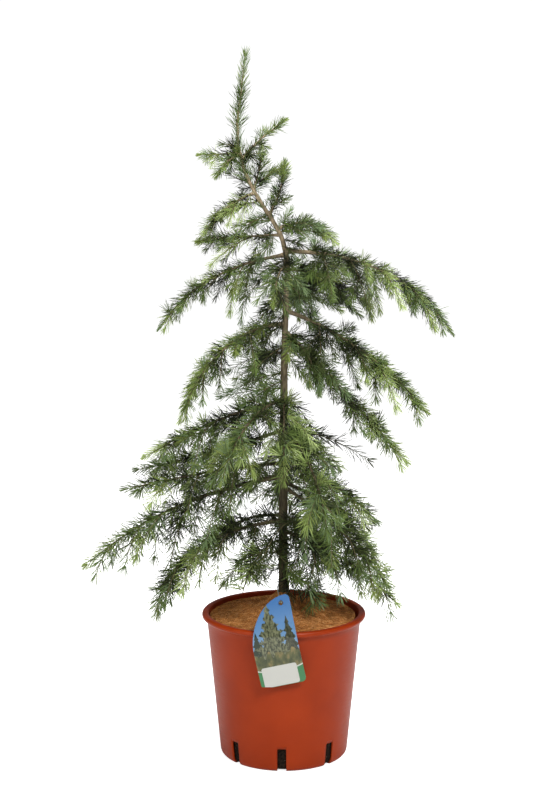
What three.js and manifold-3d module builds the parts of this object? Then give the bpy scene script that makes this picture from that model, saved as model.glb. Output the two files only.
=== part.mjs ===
// A young cedar tree in a round plastic pot, as a three.js scene graph.
// Millimetres, +Z up, origin at the centre of the pot's flat underside.
// Heading 0 points along +X and 90 along +Y; the tree is seen from -Y.

import * as THREE from 'three';
import { mergeVertices } from 'three/addons/utils/BufferGeometryUtils.js';
import Module from 'manifold-3d';

// Driving dimensions of the pot and what lies in it.
const GAP = 0.3;
const POT_HEIGHT = 265;
const LIP_RADIUS = 150;
const LIP_DEPTH = 10;
const LIP_PROUD = 9;
const BASE_RADIUS = 117;
const BASE_CORNER = 7;
const WALL = 3.5;
const FLOOR = 4;
const POT_SIDES = 32;
const SLOT_COUNT = 8;
const SLOT_TURN = -1.8;
const SLOT_WIDTH = 16;
const SLOT_HEIGHT = 44;
const SLOT_CORNER = 2.2;
const SLOT_INNER = 88;
const SOIL_TOP = 245;
const SOIL_SIDES = 32;
const MULCH_RADIUS = 133;
const MULCH_X = -2;
const MULCH_THICK = 12;
const MULCH_PEAK = 56;
const MULCH_HOLE = 12.5;
const MULCH_SIDES = 24;
const MULCH_FOLDS = 7;
const MULCH_FOLD_DEPTH = 2.4;

// Driving dimensions of the hanging label and its tie.
const LABEL_WIDTH = 80;
const LABEL_THICK = 1;
const LABEL_LEAN = 12;
const LABEL_FOOT = 170;
const LABEL_TOP = 325;
const LABEL_X = 1;
const LABEL_CORNER = 8;
const LABEL_HOLE = 4;
const HOLE_INSET = 16;
const HOLE_DROP = 12;
const LABEL_BACK = -LIP_RADIUS - GAP - 0.4;
const TIE_RADIUS = 0.9;
const TIE_HEIGHT = 312;
const TIE_STRAND = 1.4;
const TIE_END = 7;
const TIE_STEPS = 30;

// The trunk: height above the pot's underside, centre and radius at each named bend.
const TRUNK = [
  { z: SOIL_TOP + GAP, x: -1, y: 0, radius: 13 },
  { z: 262, x: -1, y: 0, radius: 9.6 },
  { z: 330, x: -1, y: 0, radius: 8.6 },
  { z: 471, x: -1, y: 0, radius: 8.0 },
  { z: 654, x: 0, y: 0, radius: 7.2 },
  { z: 781, x: 2, y: 0, radius: 6.4 },
  { z: 888, x: 5, y: 2, radius: 5.6 },
  { z: 943, x: -3, y: 3, radius: 5.0 },
  { z: 1019, x: -48, y: 6, radius: 4.2 },
  { z: 1060, x: -68, y: 7, radius: 3.6 },
  { z: 1108, x: -80, y: 6, radius: 3.0 },
  { z: 1154, x: -81, y: 4, radius: 2.4 },
  { z: 1200, x: -75, y: 2, radius: 1.7 },
  { z: 1258, x: -68, y: 0, radius: 0.9 },
];
const TRUNK_STEPS = 24;
const TRUNK_SIDES = 8;
const LEADER_FOOT = 1165;

// One row for each branch: the height where it leaves the trunk, its heading, its length along
// the curve, the slope at its root and at its tip, how late it bends, its swing in heading, the
// bare share that is its bough (0 where the foliage starts at the trunk), and its shoots: how
// many, how long the first is and how much they hang.
const BRANCH_FIELDS = [
  'z', 'heading', 'length', 'rise', 'droop', 'bend', 'swing', 'bare', 'shoots', 'reach', 'hang',
];
const BRANCHES = {
  foot_right: [338, 322, 92, 0, -52, 1, 0, 0, 3, 70, 0.5],
  low_left_front: [398, 236, 158, 4, -70, 1.2, 0, 0, 6, 118, 0.5],
  low_left: [434, 186, 310, -8, -84, 1.7, -6, 0.16, 8, 135, 0.5],
  low_right: [414, 350, 238, -18, -46, 1.2, 0, 0, 7, 120, 0.4],
  low_back_right: [430, 60, 235, -8, -58, 1.2, 0, 0, 4, 125, 0.3],
  low_right_front: [446, 306, 150, -10, -80, 1.2, 0, 0, 5, 105, 0.5],
  low_back_left: [442, 132, 250, -6, -50, 1.3, 0, 0, 4, 125, 0.3],
  long_left: [515, 183, 388, -9, -41, 1.2, 2, 0.16, 10, 150, 0.6],
  long_right: [495, 338, 255, -26, -52, 1, 0, 0.18, 8, 135, 0.5],
  right_back_low: [505, 38, 262, -24, -50, 1.2, 0, 0.18, 5, 130, 0.3],
  back_low: [525, 92, 315, -10, -40, 1.2, 0, 0.18, 5, 145, 0.3],
  mid_left_front: [540, 198, 284, -2, -10, 1, 0, 0.14, 7, 135, 0.6],
  right_mid: [548, 352, 196, -22, -46, 1.2, 0, 0, 6, 115, 0.3],
  mid_left: [600, 168, 280, -20, -14, 1, 0, 0.14, 7, 140, 0.5],
  front_right: [600, 292, 258, -8, -70, 1.2, 0, 0, 6, 115, 0.5],
  back_mid: [604, 70, 262, -10, -44, 1.2, 0, 0.18, 5, 140, 0.3],
  left_upper: [655, 186, 262, -12, -31, 1, 0, 0.14, 7, 140, 0.6],
  front_left: [655, 240, 248, 0, -62, 1.2, 0, 0, 5, 125, 0.5],
  right_shoulder: [612, 338, 96, -52, -76, 1.2, 0, 0, 4, 62, 0.4],
  front_hanging: [652, 270, 190, 6, -84, 0.9, 0, 0, 5, 75, 0.6],
  back_left: [738, 110, 225, 0, -48, 1.2, 0, 0.14, 5, 145, 0.3],
  right_dark: [770, 10, 320, -43, -49, 1, 0, 0.16, 7, 115, 0.3],
  left_arch: [792, 205, 270, 4, -71, 0.8, 0, 0.12, 8, 125, 0.5],
  right_hanging: [780, 326, 128, -30, -84, 1.2, 0, 0, 4, 80, 0.5],
  right_arm: [816, 350, 306, -19, -50, 1, 0, 0.12, 7, 150, 0.4],
  back_upper: [862, 84, 245, 0, -42, 1.2, 0, 0, 5, 130, 0.3],
  right_back_top: [890, 48, 200, -6, -46, 1.2, 0, 0, 5, 130, 0.3],
  front_top: [892, 258, 125, 8, -66, 1.2, 0, 0, 4, 90, 0.5],
  right_top: [922, 355, 338, -2, -58, 1.4, 0, 0.12, 9, 150, 0.9],
  left_top: [915, 180, 262, -9, -56, 1.3, 0, 0.14, 8, 105, 0.4],
  right_crest: [960, 12, 112, 30, -50, 1, 0, 0, 5, 95, 0.1],
  left_crest: [950, 160, 150, -2, -8, 1, 0, 0, 5, 110, 0.2],
  crown_right: [985, 14, 92, 58, 86, 1, 0, 0, 5, 70, 0],
  crown_left: [1024, 195, 112, -16, -56, 1, 0, 0, 5, 92, 0.2],
  crown_back: [1030, 60, 72, 52, 80, 1, 0, 0, 5, 58, 0.1],
  collar: [1092, 196, 52, -18, -62, 1, 0, 0, 3, 34, 0],
  tip_left: [1094, 172, 64, -4, -2, 1, 0, 0, 3, 36, 0.4],
  tip_right: [1083, 8, 96, 50, 32, 1, 0, 0, 3, 50, 0],
};
const SEED = 20449;
const BRANCH_STEPS = 24;
const BOUGH_SIDES = 6;
const BOUGH_STEPS = 4;
const STEM_SIDES = 4;
const STEM_STEP = 60;
const STEM_END = 0.8;
const LEADER_STEPS = 3;
const BOUGH_ROOT = 0.0135;
const BOUGH_ROOT_LEAST = 2.6;
const BOUGH_TAPER = 0.72;

// Sprays: toothed blades with a raised rib, each tooth a group of needles swept forward.
const SPRAY_WIDTH = 28;
const SPRAY_THICK = 1.7;
const SPRAY_NOTCH = 9;
const TOOTH_SPACING = 34;
const TOOTH_SWEEP = 17;
const SWEEP_MOST = 0.55;
const WIDTH_MOST = 0.5;
const TIP_WIDTH = 18;
const TIP_RUN = 110;
const TIP_SHARE = 0.45;
const TIP_PROUD = 6;
const TIP_ROLL = 70;
const SHOOT_STEPS = 6;
const SHOOT_FIRST = 0.08;
const SHOOT_LAST = 0.9;
const ANGLE_INNER = 78;
const ANGLE_OUTER = 36;
const ANGLE_SPREAD = 22;
const TILT_SPREAD = 40;
const ROLL_SPREAD = 120;
const REACH_INNER = 1.1;
const REACH_OUTER = 0.25;
const REACH_LEAST = 0.65;
const REACH_SPREAD = 0.6;
const SAG = 2.2;
const CLEARANCE = 0.5;
const LEADER_ROLLS = [15, 100];
const LEADER_WIDTH = 17;
const LEADER_PROUD = 12;
const LEADER_STAGGER = 25;

const finish = (name, color, roughness, metalness = 0) =>
  new THREE.MeshStandardMaterial({ name, color, roughness, metalness });
const terracotta = finish('terracotta plastic', 0xb5603f, 0.45);
const compost = finish('compost', 0x241c17, 0.95);
const coir = finish('coir felt', 0x8a6a48, 0.95);
const bark = finish('bark', 0x6b5a48, 0.85);
const foliage = finish('cedar needles', 0x5f7a56, 0.7);
const card = finish('printed card', 0x7fb2d8, 0.35);
const strap = finish('tie', 0x4a5a48, 0.5);

const wasm = await Module();
wasm.setup();

const tree = new THREE.Group();
const UP = new THREE.Vector3(0, 0, 1);
const ALONG = new THREE.Vector3(1, 0, 0);
const TANGENT_RUN = 4;
const radians = THREE.MathUtils.degToRad;
const blend = THREE.MathUtils.lerp;

/** Random numbers from 0 to 1 that are the same for the same seed. */
function seeded(seed) {
  let state = seed >>> 0;
  return () => {
    state = (Math.imul(state, 1664525) + 1013904223) >>> 0;
    return state / 4294967296;
  };
}

/** A closed solid from a geometry whose faces meet at shared places. */
function solidOf(geometry) {
  const shell = geometry.clone();
  shell.deleteAttribute('normal');
  shell.deleteAttribute('uv');
  const merged = mergeVertices(shell, 1e-4);
  return new wasm.Manifold(new wasm.Mesh({
    numProp: 3,
    vertProperties: new Float32Array(merged.attributes.position.array),
    triVerts: new Uint32Array(merged.index.array),
  }));
}

function geometryOf(solid) {
  const mesh = solid.getMesh();
  const geometry = new THREE.BufferGeometry();
  geometry.setAttribute('position', new THREE.BufferAttribute(mesh.vertProperties, 3));
  geometry.setIndex(new THREE.BufferAttribute(mesh.triVerts, 1));
  geometry.computeVertexNormals();
  return geometry;
}

function add(name, solid, material) {
  const mesh = new THREE.Mesh(geometryOf(solid), material);
  mesh.name = name;
  tree.add(mesh);
}

/** The largest single body of a solid; loose scraps are dropped. */
function largest(solid) {
  const bodies = solid.decompose();
  return bodies.reduce((best, body) => (body.volume() > best.volume() ? body : best));
}

/** A closed geometry from corner places and triangles of their indices. */
function facets(places, triangles) {
  const geometry = new THREE.BufferGeometry();
  const flat = places.flatMap((place) => [place.x, place.y, place.z]);
  geometry.setAttribute('position', new THREE.Float32BufferAttribute(flat, 3));
  geometry.setIndex(triangles.flat());
  return geometry;
}

/** The way ahead and two directions square to it at each distance, carried on without twisting. */
function framesAlong(path, distances) {
  let side = null;
  return distances.map((distance) => {
    const ahead = placeAt(path, distance + TANGENT_RUN).sub(placeAt(path, distance - TANGENT_RUN));
    ahead.normalize();
    if (!side) side = new THREE.Vector3().crossVectors(ahead, Math.abs(ahead.z) > 0.95 ? ALONG : UP);
    side = side.clone().addScaledVector(ahead, -side.dot(ahead)).normalize();
    return { side, lift: new THREE.Vector3().crossVectors(side, ahead) };
  });
}

/** A limb: a tapering tube of few sides along a stretch of a path, closed flat at both ends. */
function limb(path, from, to, steps, sides, radiusAt) {
  const distances = Array.from({ length: steps + 1 }, (_, i) => blend(from, to, i / steps));
  const frames = framesAlong(path, distances);
  const places = [];
  distances.forEach((distance, i) => {
    for (let k = 0; k < sides; k += 1) {
      const turn = (2 * Math.PI * k) / sides;
      places.push(placeAt(path, distance)
        .addScaledVector(frames[i].side, radiusAt(distance) * Math.cos(turn))
        .addScaledVector(frames[i].lift, radiusAt(distance) * Math.sin(turn)));
    }
  });
  const triangles = [];
  for (let i = 0; i < steps; i += 1) {
    for (let k = 0; k < sides; k += 1) {
      const a = i * sides + k;
      const b = i * sides + ((k + 1) % sides);
      triangles.push([a, a + sides, b], [b, a + sides, b + sides]);
    }
  }
  const last = steps * sides;
  for (let k = 1; k + 1 < sides; k += 1) {
    triangles.push([0, k, k + 1], [last, last + k + 1, last + k]);
  }
  return outward(solidOf(facets(places, triangles)), () => solidOf(facets(places, flipped(triangles))));
}

const flipped = (triangles) => triangles.map(([a, b, c]) => [a, c, b]);
const outward = (solid, turned) => (solid.volume() > 0 ? solid : turned());

/** The place and the radius of the trunk at a height, smooth through its named bends. */
const trunkCurve = new THREE.CatmullRomCurve3(
  TRUNK.map((bend) => new THREE.Vector3(bend.x, bend.y, bend.z)), false, 'centripetal');
const trunkTaper = new THREE.CatmullRomCurve3(
  TRUNK.map((bend) => new THREE.Vector3(bend.radius, 0, bend.z)), false, 'centripetal');

function shareAtHeight(height) {
  let low = 0;
  let high = 1;
  for (let i = 0; i < 30; i += 1) {
    const middle = (low + high) / 2;
    if (trunkCurve.getPoint(middle).z < height) low = middle;
    else high = middle;
  }
  return (low + high) / 2;
}

const trunkPath = trunkCurve.getPoints(4 * TRUNK_STEPS);

function trunkRadius(distance) {
  return trunkTaper.getPoint(shareAtHeight(placeAt(trunkPath, distance).z)).x;
}

/** The distance along the trunk at which it passes a height. */
function distanceAtHeight(height) {
  return lengthOf(trunkPath.filter((place) => place.z < height));
}

function trunkSolid(extra) {
  const tip = distanceAtHeight(LEADER_FOOT);
  return limb(trunkPath, 0, tip, TRUNK_STEPS, TRUNK_SIDES, (distance) => trunkRadius(distance) + extra);
}

/** The curve of a branch, from the trunk's axis to its furthest tip. */
function branchPath(branch) {
  const place = trunkCurve.getPoint(shareAtHeight(branch.z));
  const path = [place.clone()];
  const step = branch.length / BRANCH_STEPS;
  for (let i = 0; i < BRANCH_STEPS; i += 1) {
    const share = (i + 0.5) / BRANCH_STEPS;
    const slope = radians(blend(branch.rise, branch.droop, share ** branch.bend));
    const heading = radians(branch.heading + branch.swing * share);
    place.add(new THREE.Vector3(
      step * Math.cos(slope) * Math.cos(heading),
      step * Math.cos(slope) * Math.sin(heading),
      step * Math.sin(slope)));
    path.push(place.clone());
  }
  return path;
}

/** The place at a distance along a path; past its end it runs straight on. */
function placeAt(path, distance) {
  let left = distance;
  for (let i = 0; i + 1 < path.length; i += 1) {
    const span = path[i].distanceTo(path[i + 1]);
    if (left <= span || i + 2 === path.length) {
      return path[i].clone().lerp(path[i + 1], left / span);
    }
    left -= span;
  }
  return path[path.length - 1].clone();
}

function lengthOf(path) {
  let total = 0;
  for (let i = 0; i + 1 < path.length; i += 1) total += path[i].distanceTo(path[i + 1]);
  return total;
}

function stretch(path, from, to, steps) {
  const places = [];
  for (let i = 0; i <= steps; i += 1) places.push(placeAt(path, blend(from, to, i / steps)));
  return places;
}

/** The radius of a branch at a share of its length. */
function branchRadius(branch, share) {
  const root = Math.max(BOUGH_ROOT_LEAST, BOUGH_ROOT * branch.length);
  return blend(root, STEM_END, share ** BOUGH_TAPER);
}

/**
 * A spray of needles: a blade along a path, with a raised rib on each face and teeth that sweep
 * forward on both sides. Extra widens and thickens it, to test the room round it.
 */
function spray(path, side, width, extra) {
  const length = lengthOf(path);
  const teeth = Math.max(2, Math.round(length / TOOTH_SPACING));
  const spacing = length / (teeth + 0.3);
  const sweep = Math.min(TOOTH_SWEEP, spacing * SWEEP_MOST);
  const half = Math.min(width, length * WIDTH_MOST);
  const places = [];
  const put = (distance, out, up) => {
    const ahead = placeAt(path, distance + TANGENT_RUN).sub(placeAt(path, distance - TANGENT_RUN));
    ahead.normalize();
    const across = side.clone().addScaledVector(ahead, -side.dot(ahead)).normalize();
    const lift = new THREE.Vector3().crossVectors(across, ahead);
    places.push(placeAt(path, distance).addScaledVector(across, out).addScaledVector(lift, up));
    return places.length - 1;
  };
  const root = put(-extra, 0, 0);
  const end = put(length + extra, 0, 0);
  const edges = [1, -1].map((hand) => {
    const edge = [root];
    for (let i = 0; i < teeth; i += 1) {
      const fullness = 0.66 + 0.34 * Math.sin(Math.PI * (0.15 + (0.75 * (i + 0.5)) / teeth));
      const notch = (Math.min(SPRAY_NOTCH, half / 2) * (teeth - 0.6 * i)) / teeth;
      edge.push(put(spacing * (i + 0.5) + sweep, hand * (half * fullness + extra), 0));
      edge.push(put(spacing * (i + 1), hand * (notch + extra), 0));
    }
    return [...edge, end];
  });
  const triangles = [];
  let ribs = null;
  for (let first = 0; first < teeth; first += 2) {
    const last = Math.min(first + 2, teeth);
    const here = spacing * blend(first, last, 0.38);
    const thick = SPRAY_THICK * (1.1 - 0.5 * (first / teeth)) + extra;
    const next = [put(here, 0, thick), put(here, 0, -thick)];
    edges.forEach((edge, hand) => {
      const run = edge.slice(2 * first, 2 * last + 1 + (last === teeth ? 1 : 0));
      next.forEach((rib, face) => {
        const fan = run.slice(1).map((corner, k) => [rib, run[k], corner]);
        if (ribs) fan.push([ribs[face], run[0], rib]);
        triangles.push(...(hand === face ? fan : flipped(fan)));
      });
    });
    ribs = next;
  }
  return outward(solidOf(facets(places, triangles)), () => solidOf(facets(places, flipped(triangles))));
}

/** A shoot's curve: it leaves its stem at an angle and sags along its length. */
function shootPath(start, direction, length, hang) {
  const place = start.clone();
  const path = [place.clone()];
  for (let i = 0; i < SHOOT_STEPS; i += 1) {
    const share = (i + 0.5) / SHOOT_STEPS;
    const heading = direction.clone().addScaledVector(UP, -SAG * hang * share).normalize();
    place.addScaledVector(heading, length / SHOOT_STEPS);
    path.push(place.clone());
  }
  return path;
}

/** The shoots of a branch by a seeded rule: alternate sides, shorter toward the tip. */
function shootsOf(branch, path, random) {
  const first = Math.max(branch.bare, SHOOT_FIRST) + 0.02;
  const shoots = [];
  for (let i = 0; i < branch.shoots; i += 1) {
    const share = blend(first, SHOOT_LAST, (i + 0.3 + 0.4 * random()) / branch.shoots);
    const start = placeAt(path, share * branch.length);
    const ahead = placeAt(path, share * branch.length + TANGENT_RUN).sub(start).normalize();
    const level = new THREE.Vector3().crossVectors(ahead, UP).normalize();
    const hand = i % 2 ? -1 : 1;
    const angle = radians(blend(ANGLE_INNER, ANGLE_OUTER, share) + ANGLE_SPREAD * (random() - 0.5));
    const tilt = radians(TILT_SPREAD * (random() - 0.4));
    const out = level.multiplyScalar(hand * Math.cos(tilt)).addScaledVector(UP, -Math.sin(tilt));
    const direction = ahead.multiplyScalar(Math.cos(angle)).addScaledVector(out, Math.sin(angle));
    const vigour = REACH_LEAST + REACH_SPREAD * random();
    const reach = branch.reach * blend(REACH_INNER, REACH_OUTER, share) * vigour;
    const hang = branch.hang * (0.5 + random());
    const roll = radians(ROLL_SPREAD * (random() - 0.5));
    const width = blend(SPRAY_WIDTH, TIP_WIDTH, share);
    shoots.push({ path: shootPath(start, direction, reach, hang), roll, width });
  }
  return shoots;
}

/** The leader: the trunk's last shoot, which goes on from its tip with needles all round. */
function leaderMass() {
  const foot = distanceAtHeight(LEADER_FOOT) + GAP;
  const total = lengthOf(trunkPath);
  const stem = limb(trunkPath, foot, total, LEADER_STEPS, STEM_SIDES, trunkRadius);
  stand('leader', stem);
  const waiting = LEADER_ROLLS.map((roll, i) => ({
    path: stretch(trunkPath, foot + 2, total + LEADER_PROUD - LEADER_STAGGER * i, SHOOT_STEPS),
    roll: radians(roll),
    width: LEADER_WIDTH,
  }));
  return { name: 'leader', parts: [stem], waiting };
}

/** The side direction of a spray: level, then rolled about the way it points. */
function sprayAcross(path, roll) {
  const ahead = path[path.length - 1].clone().sub(path[0]).normalize();
  const across = new THREE.Vector3().crossVectors(ahead, UP);
  if (across.length() < 0.05) across.set(1, 0, 0);
  return across.normalize().applyAxisAngle(ahead, roll);
}

// What stands already, so that a shoot that would touch another piece is left out.
const standing = [];

function stand(owner, solid) {
  standing.push({ owner, solid, box: solid.boundingBox() });
}

function boxesMeet(a, b) {
  return [0, 1, 2].every((k) => a.min[k] <= b.max[k] && b.min[k] <= a.max[k]);
}

function isFree(owner, room) {
  const box = room.boundingBox();
  return !standing.some((piece) => piece.owner !== owner
    && boxesMeet(box, piece.box) && !room.intersect(piece.solid).isEmpty());
}

/** A solid of revolution from its closed outline of radius and height. */
function turned(outline, sides) {
  const lathe = (points) => {
    const geometry = new THREE.LatheGeometry(points, sides);
    geometry.rotateX(Math.PI / 2);
    return solidOf(geometry);
  };
  const points = [...outline, outline[0]].map(([radius, height]) => new THREE.Vector2(radius, height));
  return outward(lathe(points), () => lathe([...points].reverse()));
}

/** The outer radius of the pot's wall at a height. */
function wallRadius(height) {
  const top = LIP_RADIUS - LIP_PROUD;
  return blend(BASE_RADIUS, top, (height - BASE_CORNER) / (POT_HEIGHT - LIP_DEPTH - BASE_CORNER));
}

function potSolid() {
  const underLip = POT_HEIGHT - LIP_DEPTH;
  const top = LIP_RADIUS - LIP_PROUD;
  const outline = [
    [0, 0],
    [BASE_RADIUS - BASE_CORNER, 0],
    [BASE_RADIUS - BASE_CORNER * 0.3, BASE_CORNER * 0.3],
    [BASE_RADIUS, BASE_CORNER],
    [top, underLip],
    [LIP_RADIUS, underLip + 2.5],
    [LIP_RADIUS - 0.8, POT_HEIGHT - 1.8],
    [LIP_RADIUS - 3, POT_HEIGHT],
    [top - WALL, POT_HEIGHT - 1.2],
    [BASE_RADIUS - WALL, FLOOR],
    [0, FLOOR],
  ];
  let pot = turned(outline, POT_SIDES);
  for (let i = 0; i < SLOT_COUNT; i += 1) {
    pot = pot.subtract(slotSolid(radians(SLOT_TURN - 90 + (360 / SLOT_COUNT) * i)));
  }
  return largest(pot);
}

/** A drainage slot: an upright opening with round upper corners, run in under the pot's edge. */
function slotSolid(heading) {
  const half = SLOT_WIDTH / 2;
  const top = SLOT_HEIGHT - SLOT_CORNER;
  const shape = new THREE.Shape();
  shape.moveTo(-half, -1);
  shape.lineTo(half, -1);
  shape.lineTo(half, top);
  shape.absarc(half - SLOT_CORNER, top, SLOT_CORNER, 0, Math.PI / 2, false);
  shape.absarc(SLOT_CORNER - half, top, SLOT_CORNER, Math.PI / 2, Math.PI, false);
  shape.closePath();
  const geometry = new THREE.ExtrudeGeometry(shape, {
    depth: LIP_RADIUS - SLOT_INNER, bevelEnabled: false, curveSegments: 2,
  });
  geometry.rotateX(Math.PI / 2);
  geometry.translate(0, -SLOT_INNER, 0);
  geometry.rotateZ(heading + Math.PI / 2);
  return solidOf(geometry);
}

function soilSolid() {
  const inset = WALL + GAP;
  return turned([
    [0, FLOOR + GAP],
    [BASE_RADIUS - inset - 0.6, FLOOR + GAP],
    [wallRadius(SOIL_TOP) - inset - 0.6, SOIL_TOP],
    [0, SOIL_TOP],
  ], SOIL_SIDES);
}

/** The felt disc: flat on the soil, gathered up in folds round the foot of the trunk. */
function mulchSolid() {
  const floor = SOIL_TOP + GAP;
  const outline = [
    [MULCH_HOLE + 3, floor],
    [MULCH_RADIUS, floor],
    [MULCH_RADIUS + 0.5, floor + MULCH_THICK],
    [MULCH_RADIUS * 0.75, floor + MULCH_THICK + 2],
    [MULCH_RADIUS * 0.45, floor + MULCH_THICK + 9],
    [MULCH_RADIUS * 0.24, floor + MULCH_THICK + 22],
    [MULCH_HOLE + 3, floor + MULCH_PEAK],
    [MULCH_HOLE - 6, floor + MULCH_PEAK - 2],
    [MULCH_HOLE - 6, floor + 26],
  ];
  const solid = turned(outline, MULCH_SIDES);
  return solid.warp((place) => {
    const radius = Math.hypot(place[0], place[1]);
    const lifted = place[2] > floor + 1 ? 1 : 0;
    const fade = Math.sin(Math.PI * Math.min(1, Math.max(0, (radius - 22) / (MULCH_RADIUS - 20))));
    const turn = Math.atan2(place[1], place[0]);
    place[0] += MULCH_X;
    place[2] += lifted * fade * MULCH_FOLD_DEPTH * Math.cos(MULCH_FOLDS * turn + 1);
  });
}

/** The label in front view: a round shoulder at the upper left and a straight right edge. */
function labelOutline() {
  const half = LABEL_WIDTH / 2;
  const tall = LABEL_TOP - LABEL_FOOT;
  const shape = new THREE.Shape();
  shape.moveTo(-half + LABEL_CORNER, 0);
  shape.lineTo(half - LABEL_CORNER, 0);
  shape.absarc(half - LABEL_CORNER, LABEL_CORNER, LABEL_CORNER, -Math.PI / 2, 0, false);
  shape.lineTo(half, tall - LABEL_CORNER);
  shape.absarc(half - LABEL_CORNER, tall - LABEL_CORNER, LABEL_CORNER, 0, Math.PI / 2, false);
  shape.absellipse(half - LABEL_CORNER, tall * 0.42, LABEL_WIDTH - LABEL_CORNER, tall * 0.58,
    Math.PI / 2, Math.PI, false);
  shape.lineTo(-half, LABEL_CORNER);
  shape.absarc(-half + LABEL_CORNER, LABEL_CORNER, LABEL_CORNER, Math.PI, Math.PI * 1.5, false);
  const hole = new THREE.Path();
  hole.absarc(half - HOLE_INSET, tall - HOLE_DROP, LABEL_HOLE, 0, 2 * Math.PI, true);
  shape.holes.push(hole);
  return shape;
}

/** The label's sheet from the side: down the pot's front, over the lip and back toward the trunk. */
function labelSheet() {
  const back = LABEL_BACK;
  const middle = [
    [back + 9, LABEL_FOOT - 4], [back + 0.8, POT_HEIGHT - 24], [back, POT_HEIGHT - 6],
    [back + 7, POT_HEIGHT + 20], [back + 28, LABEL_TOP + 4],
  ];
  const shape = new THREE.Shape();
  middle.forEach(([y, z], i) => (i ? shape.lineTo(y, z) : shape.moveTo(y, z)));
  [...middle].reverse().forEach(([y, z]) => shape.lineTo(y - LABEL_THICK, z));
  const geometry = new THREE.ExtrudeGeometry(shape, {
    depth: 2 * LABEL_WIDTH, bevelEnabled: false,
  });
  geometry.rotateX(Math.PI / 2);
  geometry.rotateZ(Math.PI / 2);
  geometry.translate(LABEL_X - LABEL_WIDTH, 0, 0);
  return solidOf(geometry);
}

function labelSolid() {
  const front = new THREE.ExtrudeGeometry(labelOutline(), {
    depth: LIP_RADIUS, bevelEnabled: false, curveSegments: 7,
  });
  front.rotateZ(radians(LABEL_LEAN));
  front.rotateX(Math.PI / 2);
  front.translate(LABEL_X, -LIP_RADIUS / 2, LABEL_FOOT);
  return largest(labelSheet().intersect(solidOf(front)));
}

/** The tie: round the back of the trunk's foot, with both ends through the label's hole. */
function tieSolid() {
  const trunk = trunkCurve.getPoint(shareAtHeight(TIE_HEIGHT));
  const round = trunkRadius(distanceAtHeight(TIE_HEIGHT)) + TIE_RADIUS + 2 * GAP;
  const hole = labelHolePlace();
  const run = [];
  [1, -1].forEach((hand) => {
    const strand = [
      hole.clone().add(new THREE.Vector3(hand * TIE_STRAND, -TIE_END, 2)),
      hole.clone().add(new THREE.Vector3(hand * TIE_STRAND, 0, 0)),
      hole.clone().add(new THREE.Vector3(hand * (TIE_STRAND + 1), TIE_END, TIE_END * 0.8)),
      new THREE.Vector3(trunk.x + hand * round, trunk.y - 1.2 * round, TIE_HEIGHT - 4),
      new THREE.Vector3(trunk.x + hand * round, trunk.y, TIE_HEIGHT),
      new THREE.Vector3(trunk.x + hand * 0.78 * round, trunk.y + 0.78 * round, TIE_HEIGHT + 1),
    ];
    run.push(...(hand > 0 ? strand : strand.reverse()));
    if (hand > 0) run.push(new THREE.Vector3(trunk.x, trunk.y + round, TIE_HEIGHT + 2));
  });
  const shape = new THREE.Shape().absarc(0, 0, TIE_RADIUS, 0, 2 * Math.PI, false);
  return solidOf(new THREE.ExtrudeGeometry(shape, {
    steps: TIE_STEPS,
    curveSegments: 3,
    extrudePath: new THREE.CatmullRomCurve3(run, false, 'centripetal'),
  }));
}

/** The middle of the label's hole, on its sheet. */
function labelHolePlace() {
  const half = LABEL_WIDTH / 2;
  const inward = new THREE.Vector3(half - HOLE_INSET, 0, LABEL_TOP - LABEL_FOOT - HOLE_DROP);
  inward.applyAxisAngle(new THREE.Vector3(0, 1, 0), -radians(LABEL_LEAN));
  const z = inward.z + LABEL_FOOT;
  const lean = (z - POT_HEIGHT - 20) / (LABEL_TOP + 4 - POT_HEIGHT - 20);
  return new THREE.Vector3(inward.x + LABEL_X, blend(LABEL_BACK + 7, LABEL_BACK + 28, lean), z);
}

add('pot', potSolid(), terracotta);
add('soil', soilSolid(), compost);
const nearTrunk = trunkSolid(GAP);
add('mulch_disc', largest(mulchSolid().subtract(nearTrunk)), coir);
add('label', labelSolid(), card);
add('trunk', trunkSolid(0), bark);
add('label_tie', largest(tieSolid().subtract(nearTrunk)), strap);

['pot', 'soil', 'mulch_disc', 'label', 'label_tie', 'trunk'].forEach((name) => {
  stand(name, solidOf(tree.getObjectByName(name).geometry));
});

// Boughs and stems first, then the sprays in turns, so that no mass takes its neighbour's room.
const random = seeded(SEED);
const masses = [];
for (const [name, row] of Object.entries(BRANCHES)) {
  const branch = Object.fromEntries(BRANCH_FIELDS.map((field, k) => [field, row[k]]));
  const path = branchPath(branch);
  const radiusAt = (distance) => branchRadius(branch, distance / branch.length);
  const joint = branch.bare * branch.length;
  if (branch.bare > 0) {
    const bough = largest(limb(path, 0, joint, BOUGH_STEPS, BOUGH_SIDES, radiusAt).subtract(nearTrunk));
    add(`${name}_bough`, bough, bark);
    stand(`${name}_bough`, bough);
  }
  const start = branch.bare > 0 ? joint + GAP : 0;
  const steps = Math.ceil((branch.length - start) / STEM_STEP);
  const run = limb(path, start, branch.length, steps, STEM_SIDES, radiusAt);
  const stem = branch.bare > 0 ? run : largest(run.subtract(nearTrunk));
  stand(name, stem);
  const tip = {
    path: stretch(path, branch.length - Math.min(TIP_SHARE * branch.length, TIP_RUN),
      branch.length + TIP_PROUD, SHOOT_STEPS),
    roll: radians(TIP_ROLL),
    width: TIP_WIDTH,
  };
  masses.push({ name, parts: [stem], waiting: [tip, ...shootsOf(branch, path, random)] });
}
masses.push(leaderMass());

/** Fuses a shoot's spray to its mass, or leaves it out where it would touch another piece. */
function growSpray(mass, shoot) {
  const across = sprayAcross(shoot.path, shoot.roll);
  if (!isFree(mass.name, spray(shoot.path, across, shoot.width, CLEARANCE))) return;
  const blade = spray(shoot.path, across, shoot.width, 0);
  mass.parts.push(blade);
  stand(mass.name, blade);
}

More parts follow.
